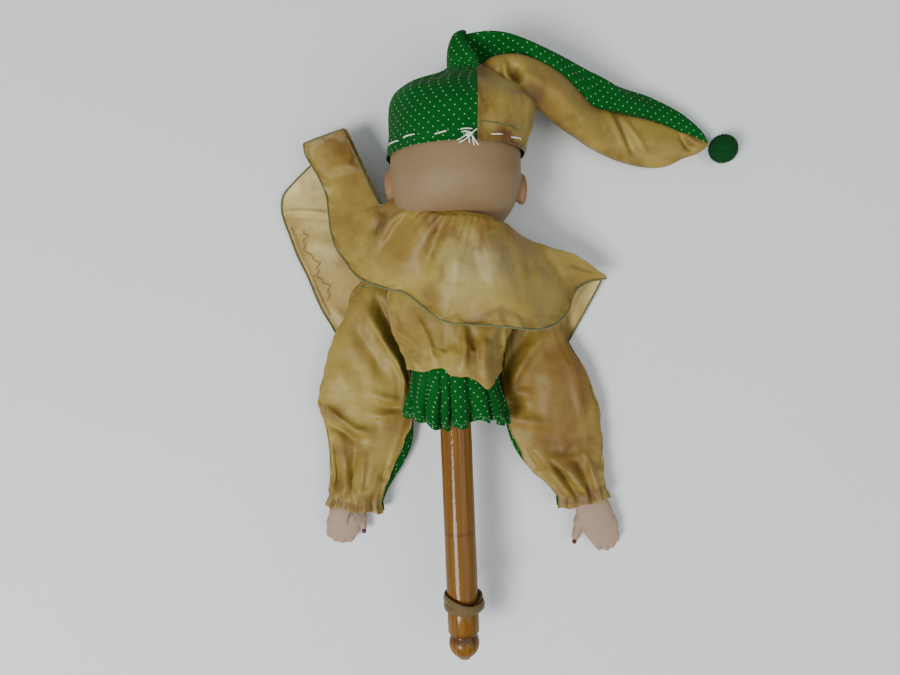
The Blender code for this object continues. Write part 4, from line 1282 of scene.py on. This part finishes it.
def lower_point(s, t):
    """s runs along the rim and t from the neck out to it."""
    deg, far, high = smooth_rows(LOWER_RIM, s)
    deg += 36 * (1 - t) * max(0.0, 1 - 2.2 * s) ** 2
    a = math.radians(deg)
    near = 20.0
    r = near + (far - near) * t
    x, y = COLLAR_X + r * math.cos(a), COLLAR_Y + r * math.sin(a)
    z = 0.9 + (high - 0.9) * t ** 3
    z += fold_height(LOWER_FOLDS, x, y) * min(1.0, 4 * max(t - 0.35, 0))
    z += 0.5 * (soft_noise(x * 0.06, y * 0.06, 8) + 1) * t * t
    return x, y, max(z, 0.45)


collar_under = build_panel("satin_collar_lower", lower_point, 130, 34)
crease_panel(collar_under, 0.02, 0.8, 10, floor_mm=0.45)
finish_cloth(collar_under, cream_satin_inside)
fit(collar_under, "puppet", "cream_satin", "collar_front")


# %% Overlock its edge


def along_rim(shape, s_from, s_to, steps, t=1.0, lift=0.0):
    """Points along a panel's edge, for its edging."""
    found = []
    for i in range(steps + 1):
        x, y, z = shape(s_from + (s_to - s_from) * i / steps, t)
        found.append((x, y, z + lift))
    return found


under_rim = along_rim(lower_point, 0, 1, 420, lift=0.1)
under_edge = threads("overlock_edge_lower", [under_rim], 0.52, olive_thread,
                     ply=0.3, ply_mm=1.3, sides=10)
fit(under_edge, "puppet", "olive_thread", "collar_front_edging")

# %% The hem allowance, its raw edge and the loose threads that have pulled out of it
hem_line = [lower_point(0.28 + 0.24 * i / 60, 1 - (2.6 + 0.25 * math.sin(i * 1.7)) / 62)
            for i in range(61)]
hem_line = [(x, y, z + 0.25) for x, y, z in hem_line]
wander = []
for i in range(80):
    share = 0.285 + 0.2 * i / 79
    deep = 7.0 + 1.8 * math.sin(i * 0.21) + 0.9 * math.sin(i * 0.67 + 1)
    x, y, z = lower_point(share, 1 - deep / 62)
    wander.append((x, y, z + 0.3))
hem_threads = threads("hem_seam_threads", [hem_line, wander], 0.17, brown_thread, sides=6)
fit(hem_threads, "puppet", "olive_thread")

# %% [markdown]
# ## The upper collar layer
#
# This layer is gathered over the nape and falls to a hem across the back. Each row of the table is
# one line down the cloth, from the gathered edge to the hem. The left end stands out as a flap like
# a strap. At the nape the gathered edge rolls over and goes down inside, against the neck.

# %% Rows from the gathered edge to the hem
UPPER_ROWS = [((-52.5, 110.5, 20), (-74.0, 105.0, 16)), ((-47.5, 99, 23), (-73.0, 98.5, 15.5)),
              ((-42.0, 86, 26), (-67.5, 88.5, 15)), ((-36.8, 74, 29), (-63.4, 78, 15)),
              ((-33.0, 67.8, 32), (-62.2, 67, 15.5)), ((-28.5, 70.0, 36), (-61.2, 58, 17)),
              ((-22.5, 66.0, 43), (-58.5, 49, 19)), ((-16.5, 62.5, 48), (-54.0, 42.0, 21.5)),
              ((-11.0, 61.0, 52), (-46.0, 32.0, 28)), ((-5.0, 58.8, 55.5), (-33.0, 26.0, 35.5)),
              ((0.5, 57.2, 57), (-22.0, 22.4, 42)), ((5.5, 56.8, 57.5), (-12.0, 14.0, 48)),
              ((11.0, 56.4, 57.5), (-4.0, 8.0, 51.5)), ((16.0, 55.4, 56.5), (8.0, 5.8, 54)),
              ((22.0, 54.2, 54.5), (24.0, 4.3, 53.5)), ((29.0, 53.2, 49), (39.0, 2.2, 48.5)),
              ((36.0, 49.5, 41), (50.0, 4.0, 40)), ((44.0, 46.2, 34), (59.0, 11.0, 30)),
              ((55.0, 43.4, 28), (64.5, 21.0, 23)), ((68.0, 39.8, 22), (72.0, 25.8, 18.5)),
              ((81.5, 29.5, 17), (82.5, 27.8, 16.5))]
UPPER_FOLDS = [([(-40, 42), (-33, 52), (-28.5, 58), (-23, 61.5), (-14, 62.5)], 2.4, 4.2),
               ([(-30, 69), (-34, 60), (-41, 51)], 3.2, -3.6), ([(-47, 40), (-42, 48)], 3.0, -1.6),
               ([(-3, 56), (-8, 42), (-14, 30)], 3.0, -2.6),
               ([(-12, 58), (-18, 44), (-30, 30)], 5.0, 1.6),
               ([(4, 55), (2, 42), (2, 28)], 3.2, 1.8),
               ([(10, 54), (11, 40), (16, 24)], 3.4, -1.8),
               ([(17, 52), (20, 38), (22, 22)], 4.0, 1.6),
               ([(25, 50), (30, 36), (34, 22)], 3.4, -1.5),
               ([(34, 47), (42, 34), (50, 22)], 4.0, 1.4),
               ([(46, 44), (54, 34), (60, 24)], 3.0, -1.8),
               ([(-62, 90), (-52, 91), (-43, 90)], 2.0, 1.4),
               ([(-64, 86), (-54, 87), (-42, 86)], 2.4, -1.2),
               ([(-55, 108), (-50, 98), (-44, 88)], 3.0, -1.4),
               ([(-4, 34), (10, 30), (26, 31)], 6.0, 0.9),
               ([(62, 33), (70, 31), (78, 29)], 1.6, 1.2)]


# %% A point on the upper layer


def upper_point(s, t):
    """t is 0 at the gathered edge, 1 at the hem, and a little below 0 inside the roll."""
    row = smooth_rows([tuple(a) + tuple(b) for a, b in UPPER_ROWS], s)
    ridge, hem = row[:3], row[3:]
    if t < 0:
        nape = hump(s, 0.56, 0.20)
        turn = min(-t / 0.16, 1.0)
        x, y, z = ridge
        y += 1.6 * math.sin(math.pi * turn) * nape + 0.6 * turn * nape
        z -= (5.0 * turn + 1.5) * turn * nape + 0.5 * turn
        return x * (1 - 0.04 * turn), y, z
    x, y, z = ridge + (hem - ridge) * t
    z += 3.4 * math.sin(math.pi * min(t * 0.9 + 0.1, 1)) * hump(s, 0.56, 0.30)
    gather = hump(s, 0.55, 0.17) * math.exp(-t * 4.5)
    z += 0.9 * gather * math.sin(s * 160 + 2 * math.sin(s * 31))
    wave = hump(s, 0.62, 0.2) * t
    z += 0.8 * wave * math.sin(s * 44 + 1.0)
    fading = min(1.0, 0.25 + 3 * t) * (1 - 0.75 * max(0.0, t - 0.8) * 5)
    z += fold_height(UPPER_FOLDS, x, y) * fading
    z += 1.0 * soft_noise(x * 0.055, y * 0.055, 2.0) + 0.45 * soft_noise(x * 0.14, y * 0.14, 4.0)
    return x, y, z


def upper_shape(s, t):
    return upper_point(s, -0.16 + 1.16 * t)


# %% Make the upper layer and its edging
collar_over = build_panel("satin_collar_upper", upper_shape, 132, 54)
crease_panel(collar_over, 0.035, 1.5, 12, floor_mm=3.0)
finish_cloth(collar_over, cream_satin)
fit(collar_over, "puppet", "cream_satin", "collar_back")
end_edge = [upper_point(0.0, t / 40) for t in range(41)]
strap_edge = [upper_point(0.22 * i / 60, 0.0) for i in range(61)]
hem_edge = along_rim(upper_point, 0, 1, 460)
over_rim = strap_edge[::-1] + end_edge[1:-1] + hem_edge
over_edge = threads("overlock_edge_upper", [over_rim], 0.5, olive_thread,
                    ply=0.3, ply_mm=1.3, sides=10)
fit(over_edge, "puppet", "olive_thread", "collar_back_edging")

# %% [markdown]
# ## The cap
#
# The cap is a jester's: green on the left, satin on the right, seamed up the middle. Its crown
# narrows to a folded peak, from which the long tail is laid over to the right. The two panels are
# one tube round the head. The rings say where its left and right sides run, and the seam runs at
# its own place across the top.

# %% Cap rings
BRIM_Y, PEAK_Y, SATIN_TOP_Y = 89.6, 149.3, 133.5
# Each row: distance up, left side, right side, height of centre, half height, seam.
CAP_RINGS = [(BRIM_Y, -28.9, 39.4, 33.5, 33.4, 14.8), (96, -28.6, 40.6, 33.5, 33.6, 15.2),
             (102, -28.0, 43.0, 33.5, 33.2, 15.6), (108, -27.6, 44.8, 33.6, 32.2, 16.0),
             (113, -27.2, 45.0, 33.8, 30.2, 16.2), (117.5, -26.4, 42.0, 34.0, 27.6, 16.4),
             (121.5, -24.0, 38.5, 34.5, 24.0, 16.6), (124.6, -18.8, 34.5, 35.0, 20.5, 16.8),
             (127.0, -9.6, 30.0, 35.6, 17.6, 17.0), (129.2, -1.8, 25.5, 36.4, 15.2, 17.2),
             (131.2, 2.6, 20.0, 37.5, 13.4, 17.4), (134.5, 3.0, 17.8, 39.0, 12.2, 15.8),
             (139, 3.4, 14.8, 40.0, 10.8, 12.8), (143.5, 4.4, 12.2, 40.5, 9.0, 10.4),
             (146.6, 5.8, 12.0, 40.6, 7.4, 10.2), (148.2, 7.6, 12.6, 40.4, 6.0, 11.0),
             (149.2, 9.4, 12.8, 40.0, 3.0, 11.6)]
CAP_FOLDS = [([(-20, 124), (-8, 126), (2, 130)], 1.6, 1.4),
             ([(-14, 121), (-4, 123), (4, 128)], 2.2, -1.6),
             ([(5, 128), (4, 118), (2, 108)], 3.0, 0.9),
             ([(-24, 118), (-10, 119), (0, 122)], 3.0, 0.9),
             ([(25, 104), (24, 98), (26, 92)], 1.4, 0.7),
             ([(37, 108), (36, 98), (34, 90)], 1.8, 0.8)]


# %% Points on the cap, and its two panels
FRONT_SEAM_DEG = 80.0          # how far round under the head the two cloths meet


def cap_point(s, y, side, lift=0.0):
    """s is 0 at the back seam and 1 at the front seam; side is 1 for green, -1 for satin."""
    left, right, cz, hz, seam = ring_at(CAP_RINGS, y)
    cx, hx = (left + right) / 2, (right - left) / 2
    back = math.acos(max(-0.95, min(0.95, (seam - cx) / hx)))
    # Above the crown the green closes the peak underneath, as far as the root of the tail.
    closing = min(max((y - 127.5) / 5.5, 0.0), 1.0)
    front = math.radians(-FRONT_SEAM_DEG)
    if side > 0:
        front += (back - front - 0.06) * closing
    a = back + (2 * math.pi + front - back) * s if side > 0 else back + (front - back) * s
    out = lift + 0.5 * soft_noise(math.cos(a) * 2.2, math.sin(a) * 2.2, y * 0.07)
    if side < 0:
        out -= 0.7 * closing
    # The peak is pressed flat, so its rings turn from round to nearly square.
    square = 1 - 0.45 * closing
    c = math.copysign(abs(math.cos(a)) ** square, math.cos(a))
    w = math.copysign(abs(math.sin(a)) ** square, math.sin(a))
    x, z = cx + (hx + out) * c, cz + (hz + out) * w
    if math.sin(a) > 0:
        z += fold_height(CAP_FOLDS, x, y) * math.sin(a)
        z += 0.9 * soft_noise(x * 0.1, y * 0.1, 6) * math.sin(a)
    return x, y, max(z, 0.4)


def cap_panel(name, side, top_y, across, along, material):
    def shape(s, t):
        return cap_point(1 - s if side > 0 else s, BRIM_Y + (top_y - BRIM_Y) * t, side)
    piece = build_panel(name, shape, across, along)
    crease_panel(piece, 0.03, 0.8, 10)
    return finish_cloth(piece, material)


cap_left = cap_panel("cotton_cap_panel", 1, PEAK_Y, 96, 72, green_cotton)
fit(cap_left, "puppet", "green_cotton", "cap_green", "cap_peak")
cap_right = cap_panel("satin_cap_panel", -1, SATIN_TOP_Y, 60, 46, cream_satin)
fit(cap_right, "puppet", "cream_satin", "cap_cream")

# %% Basting stitches round the brim
BASTING_Y = 93.5
bastes = []
for place in (-24.5, -16.6, -1.6, 10.2, 24.6, 34.5):
    side = 1 if place < 14.9 else -1
    left, right, cz, hz, seam = ring_at(CAP_RINGS, BASTING_Y)
    middle, half = (left + right) / 2, (right - left) / 2
    back, front = math.acos((seam - middle) / half), math.radians(FRONT_SEAM_DEG)
    dash = []
    for k in range(9):
        x = place + (k - 4) * 0.72
        a = math.acos(max(-0.98, min(0.98, (x - middle) / (half + 0.6))))
        y = 93.4 + 0.9 * math.sin(place * 0.7 + k * 0.16)
        s = (a - back) / (2 * math.pi - front - back) if side > 0 else (back - a) / (back + front)
        dash.append(cap_point(s, y, side, 0.55 - 0.35 * (abs(k - 4) / 4) ** 4))
    bastes.append(dash)
basting = threads("white_basting_stitches", bastes, 0.3, white_thread, ply=0.2, ply_mm=1.1)
fit(basting, "puppet", "white_thread", "brim_basting")

# %% The knot at the seam and its loose ends
KNOT_ENDS = [(-6.5, -2.2, 0.2), (-5.2, -3.8, -0.3), (2.0, -5.4, 0.0), (3.6, -5.0, 0.7),
             (-1.0, -4.4, 0.6), (2.6, 1.8, 0.8), (-4.6, 1.4, 0.9)]
tuft = []
for k, (dx, dy, dz) in enumerate(KNOT_ENDS):
    line = []
    for i in range(11):
        u = i / 10
        line.append((12.0 + dx * u + 0.5 * math.sin(3 * u + k),
                     91.6 + dy * u + 0.35 * math.sin(5 * u + 2 * k),
                     67.6 + dz * u + 0.9 * math.sin(math.pi * u) - 0.6 * u))
    tuft.append(line)
tuft.append([(11.2 + 1.3 * math.cos(i * 0.7), 91.5 + 1.0 * math.sin(i * 0.7), 67.7 + 0.04 * i)
             for i in range(19)])
knot = threads("white_knot_and_ends", tuft, 0.27, white_thread, ply=0.2, ply_mm=1.0)
fit(knot, "puppet", "white_thread", "basting_knot")

# %% The line of green machine stitching
machine = []
for i in range(17):
    s0, s1 = 0.02 + i * 0.0165, 0.02 + (i + 0.86) * 0.0165
    y = 98.0 - 6.0 * max(0.0, (s0 - 0.1)) - 0.5 * math.sin(s0 * 12)
    machine.append([cap_point(s0 + (s1 - s0) * k / 4, y, -1, 0.5) for k in range(5)])
seam_stitches = threads("green_machine_stitches", machine, 0.26, green_thread, sides=6)
fit(seam_stitches, "puppet", "olive_thread")

# %% [markdown]
# ## The tail of the cap
#
# The tail is a long flat cone of both cloths. It leaves the peak, crosses the crown and tapers to
# the pompom. Both cloths are flattened tubes between two edges, green above and satin below. Each
# is cut in two lengths, a root and a tip.

# %% Tail tubes between two edges
# Each row: first edge x, y; second edge x, y; bottom and top height.
GREEN_RAILS = [(8.5, 147.6, 13.5, 131.5, 33, 45.0), (18, 149.4, 21.5, 133.6, 33, 43.5),
               (30, 149.6, 31.5, 135.6, 32, 41.5), (41, 147.4, 41, 136.4, 30, 38),
               (52, 143.8, 52.0, 133.4, 26.5, 35.5), (62, 140.0, 61.5, 129.4, 23, 32),
               (70, 137.0, 69.5, 123.6, 19.5, 28.5), (80, 133.0, 77.5, 117.4, 15.5, 24),
               (88, 130.2, 87, 116.0, 12, 20.5), (97, 127.6, 97, 114.6, 9, 17),
               (108, 124.4, 108, 112.6, 7, 14.5), (118, 120.2, 118, 109.4, 5.5, 12.5),
               (127, 115.4, 126, 105.6, 4.5, 11), (135.4, 108.6, 134.6, 101.6, 4.2, 10),
               (139.2, 103.8, 138.8, 99.2, 4.8, 9.4), (141.0, 98.9, 140.9, 97.9, 6.2, 9)]
CREAM_RAILS = [(17.5, 131.6, 19, 128.6, 36, 42), (24, 136.4, 27, 121.6, 33, 44),
               (31.5, 138.6, 36, 116.0, 31, 43.5), (41, 138.6, 45, 113.6, 28, 42),
               (52, 135.6, 52, 110.6, 22, 38.5), (61.5, 131.6, 60, 105.8, 16, 34),
               (70, 125.6, 69, 101.2, 11, 28.5), (79, 118.6, 77.5, 96.8, 7.5, 22.5),
               (88, 116.8, 87, 92.8, 5, 17.5), (97, 115.2, 97, 89.6, 3.2, 14),
               (108, 113.2, 108.5, 87.2, 2.2, 12), (118, 110.0, 119, 87.6, 2.0, 10.6),
               (127, 106.2, 128, 91.4, 2.4, 10), (135.4, 102.4, 135.6, 93.6, 3.2, 9.6),
               (139.2, 99.8, 138.9, 95.6, 4.6, 9.4), (141.0, 98.4, 140.9, 97.2, 6.2, 9)]
CREAM_FOLDS = [([(31, 134), (30.5, 128), (31.5, 122)], 1.2, 2.6),
               ([(24, 130), (28, 127), (30, 122)], 1.8, -1.0),
               ([(34, 132), (36, 127), (38, 122)], 2.4, -4.2),
               ([(40, 128), (45, 126), (52, 122)], 2.6, 1.4),
               ([(86, 117), (92, 104), (97, 92)], 2.0, 2.0),
               ([(90, 114), (96, 102), (102, 91)], 2.4, -1.8),
               ([(95, 112), (101, 102), (108, 90)], 1.8, 1.8),
               ([(126, 105), (129, 99), (133, 94)], 1.8, -2.0),
               ([(128, 104), (133, 99), (138, 97)], 1.6, 1.3),
               ([(52, 128), (64, 114), (78, 102)], 5.0, 1.4),
               ([(46, 120), (58, 110), (70, 103)], 3.6, -1.4),
               ([(96, 104), (110, 100), (124, 98)], 5.0, 0.9)]
GREEN_FOLDS = [([(14, 148), (30, 149), (50, 144)], 2.2, 1.6),
               ([(12, 140), (19, 139.5), (30, 141.5), (46, 138.5)], 4.6, -6.4),
               ([(76, 134), (84, 130), (94, 124)], 2.4, 1.6),
               ([(84, 133), (98, 126), (118, 117)], 1.8, -1.0),
               ([(60, 137), (68, 133), (76, 128)], 2.4, -1.0)]


# %% A flattened tube between two edges


def tail_tube(name, rails, lines, t_from, t_to, along, around=44):
    def shape(s, t):
        ax, ay, bx, by, low, high = smooth_rows(rails, t_from + (t_to - t_from) * t)
        a = 2 * math.pi * s
        u = 0.5 - 0.5 * math.cos(a)
        rise = math.copysign(abs(math.sin(a)) ** 0.75, math.sin(a))
        x, y = ax + (bx - ax) * u, ay + (by - ay) * u
        z = (low + high) / 2 + (high - low) / 2 * rise
        if rise > 0:
            z += fold_height(lines, x, y, 1.25) * min(1.0, 1.7 * rise)
            z += 0.7 * soft_noise(x * 0.09, y * 0.09, 7) * rise
        return x, y, max(z, 0.6)
    return wrap_panel(name, shape, around, along)


# %% Make the four lengths of the tail
ROOT_SPAN = {"green": 0.43, "satin": 0.495}
TAIL_PIECES = [("green", "root", GREEN_RAILS, GREEN_FOLDS, green_cotton, "tail_root_green"),
               ("satin", "root", CREAM_RAILS, CREAM_FOLDS, cream_satin, "tail_root_cream"),
               ("green", "tip", GREEN_RAILS, GREEN_FOLDS, green_cotton, "tail_tip_green"),
               ("satin", "tip", CREAM_RAILS, CREAM_FOLDS, cream_satin, "tail_tip_cream")]
for cloth, part, rails, lines, material, cad in TAIL_PIECES:
    cut = ROOT_SPAN[cloth]
    span = (0.0, cut) if part == "root" else (cut - 0.004, 1.0)
    piece = tail_tube(f"{cloth}_tail_{part}", rails, lines, *span, along=64)
    finish_cloth(piece, material)
    slot = "green_cotton" if cloth == "green" else "cream_satin"
    if part == "root":
        fit_between(piece, "puppet", "tail_root", (31, 136, 36), (52, 130, 30), slot, cad)
    else:
        fit_between(piece, "tail_root", "tail_tip", (84, 112, 14), (106, 100, 10), slot, cad)

# %% [markdown]
# ## The pompom
#
# A ball of cut yarn, packed so tightly that it looks like felt, with short ends standing out all
# over. The ball is a sphere roughened by fine noise. One tuft of yarn is modelled once and copied
# round the ball.

# %% Ball and tufts
POMPOM, POMPOM_R, YARN_TUFTS = np.array((149.5, 95.3, 8.3)), 7.3, 700
bpy.ops.object.select_all(action="DESELECT")
bpy.ops.mesh.primitive_ico_sphere_add(subdivisions=6, radius=POMPOM_R * MM,
                                      location=tuple(POMPOM * MM))
ball = bpy.context.object
ball.name = "yarn_pompom"
bpy.ops.object.transform_apply(location=True, rotation=True, scale=True)
for v in ball.data.vertices:
    out = np.array(tuple(v.co)) - POMPOM * MM
    unit = out / np.linalg.norm(out)
    rough = 0.32 * soft_noise(*(unit * 14)) + 0.25 * soft_noise(*(unit * 30 + 5))
    rough += 0.35 * soft_noise(*(unit * 2.5))
    v.co = POMPOM * MM + unit * (POMPOM_R + rough) * MM
ball.data.shade_smooth()
set_paint(ball, pompom_yarn)
fit(ball, "pompom_body", "pompom_yarn", "pompom")
print("pompom:", 2 * POMPOM_R, "mm across,", len(ball.data.polygons), "faces")

# %% Yarn ends, spread evenly by the golden angle
golden = math.pi * (3 - math.sqrt(5))
tufts = []
for i in range(YARN_TUFTS):
    up = 1 - 2 * (i + 0.5) / YARN_TUFTS
    flat = math.sqrt(1 - up * up)
    unit = np.array((flat * math.cos(golden * i), flat * math.sin(golden * i), up))
    lean = np.array([soft_noise(*(unit * 9 + shift)) for shift in (0, 3, 7)]) * 0.7
    start = POMPOM + unit * (POMPOM_R - 0.4)
    tufts.append([start, start + unit * 0.6 + lean * 0.2, start + unit * 1.0 + lean * 0.6])
yarn_ends = threads("yarn_pompom_ends", tufts, 0.16, pompom_yarn, sides=4)
fit(yarn_ends, "pompom_body", "pompom_yarn")

# %% [markdown]
# ## Small pieces of the frame
#
# The sewn ties, the cork plug, the wadding and the cuff elastics keep their CAD shape, because the
# costume hides them. Each still gets its real finish. Loose thread ends hang at the left wrist.

# %% Finish the kept nodes
KEPT = {"neck_plug": cork_grain, "neck_thread": white_thread, "body_pad": wadding_cotton,
        "waist_cord": white_thread, "pompom_thread": white_thread,
        "cuff_elastic_left": white_thread, "cuff_elastic_right": white_thread,
        "wrist_tie_left": olive_thread, "wrist_tie_right": olive_thread}
for name, material in KEPT.items():
    set_paint(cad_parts[name], material)
wrist_ends = []
for k, (x, y) in enumerate(((-58.5, -94.5), (-60.0, -97.5), (-55.0, -96.5), (-52.0, -94.0))):
    end = []
    for u in range(9):
        end.append((-56.6 + (x + 56.6) * u / 8 + 0.5 * math.sin(u * 0.7 + k),
                    -87.5 + (y + 87.5) * u / 8,
                    12.4 - 1.6 * (u / 8) ** 2 + 0.6 * math.sin(u * 0.4)))
    wrist_ends.append(end)
tie_ends = threads("wrist_tie_ends", wrist_ends, 0.15, dark_thread, sides=6)
fit(tie_ends, "hand_left_body", "olive_thread")
scrap_lines = [[(-45.5 + 0.5 * k, 27.4 + 0.3 * math.sin(k), 28.5 + 0.2 * k) for k in range(6)],
               [(-44.8 + 0.3 * k, 28.2 - 0.3 * k, 29.2) for k in range(5)]]
scraps = threads("green_thread_scrap", scrap_lines, 0.34, green_thread)
fit(scraps, "puppet", "olive_thread")

# %% [markdown]
# ## Floor, light and camera
#
# A plain pale table, a soft window light from the lower left, a weak fill, two narrow bars that the
# varnish mirrors, and a camera straight above that is turned a little.

# %% Table top
table_paint, tree, shader = new_material("pale_grey_table")
where = node(tree, "ShaderNodeTexCoord")
faint = node(tree, "ShaderNodeTexNoise",
             {"Vector": where.outputs["Object"], "Scale": 6.0, "Detail": 2.0})
tone = node(tree, "ShaderNodeMix",
            {0: faint.outputs["Fac"], 6: linear("#D9DBDC"), 7: linear("#D4D7D7")},
            data_type="RGBA")
tree.links.new(tone.outputs[2], shader.inputs["Base Color"])
shader.inputs["Roughness"].default_value = 0.6
bpy.ops.object.select_all(action="DESELECT")
bpy.ops.mesh.primitive_plane_add(size=3.0, location=(0, 0, -0.0002))
table_top = bpy.context.object
table_top.name = "table_top"
bpy.ops.object.transform_apply(location=True, rotation=True, scale=True)
set_paint(table_top, table_paint)

# %% Lights


def area_light(name, place, aim, power, size):
    data = bpy.data.lights.new(name, "AREA")
    data.energy = power
    data.size = size
    lamp = bpy.data.objects.new(name, data)
    bpy.context.collection.objects.link(lamp)
    lamp.location = place
    lamp.rotation_euler = (Vector(aim) - Vector(place)).to_track_quat("-Z", "Y").to_euler()
    return lamp


area_light("window", (-1.0, -0.72, 1.55), (0, 0, 0), 42.0, 0.7)
area_light("fill", (0.85, -0.3, 1.1), (0.1, 0, 0), 7.0, 1.0)
# The varnished stick mirrors two narrow window bars as streaks.
for x in (-0.34, 0.16):
    bar = area_light("window_bar", (x, -0.1, 1.3), (0, -0.05, 0), 0.9, 0.03)
    bar.data.shape = "RECTANGLE"
    bar.data.size_y = 1.1

# %% The room's own light
ROOM_LIGHT = 0.42
world = bpy.data.worlds.new("soft_room")
bpy.context.scene.world = world
world.use_nodes = True
world.node_tree.nodes["Background"].inputs[0].default_value = linear("#E9EEF0")
world.node_tree.nodes["Background"].inputs[1].default_value = ROOM_LIGHT

# %% The camera
CAMERA_HEIGHT, CAMERA_TURN_DEG = 0.384, -2.3
view = bpy.data.cameras.new("overhead")
view.sensor_width = 36.0
view.lens = 28.0
view.clip_start = 0.01
camera = bpy.data.objects.new("overhead", view)
bpy.context.collection.objects.link(camera)
camera.location = (-0.00106, 0.0, CAMERA_HEIGHT)
camera.rotation_euler = (0, 0, math.radians(CAMERA_TURN_DEG))
bpy.context.scene.camera = camera
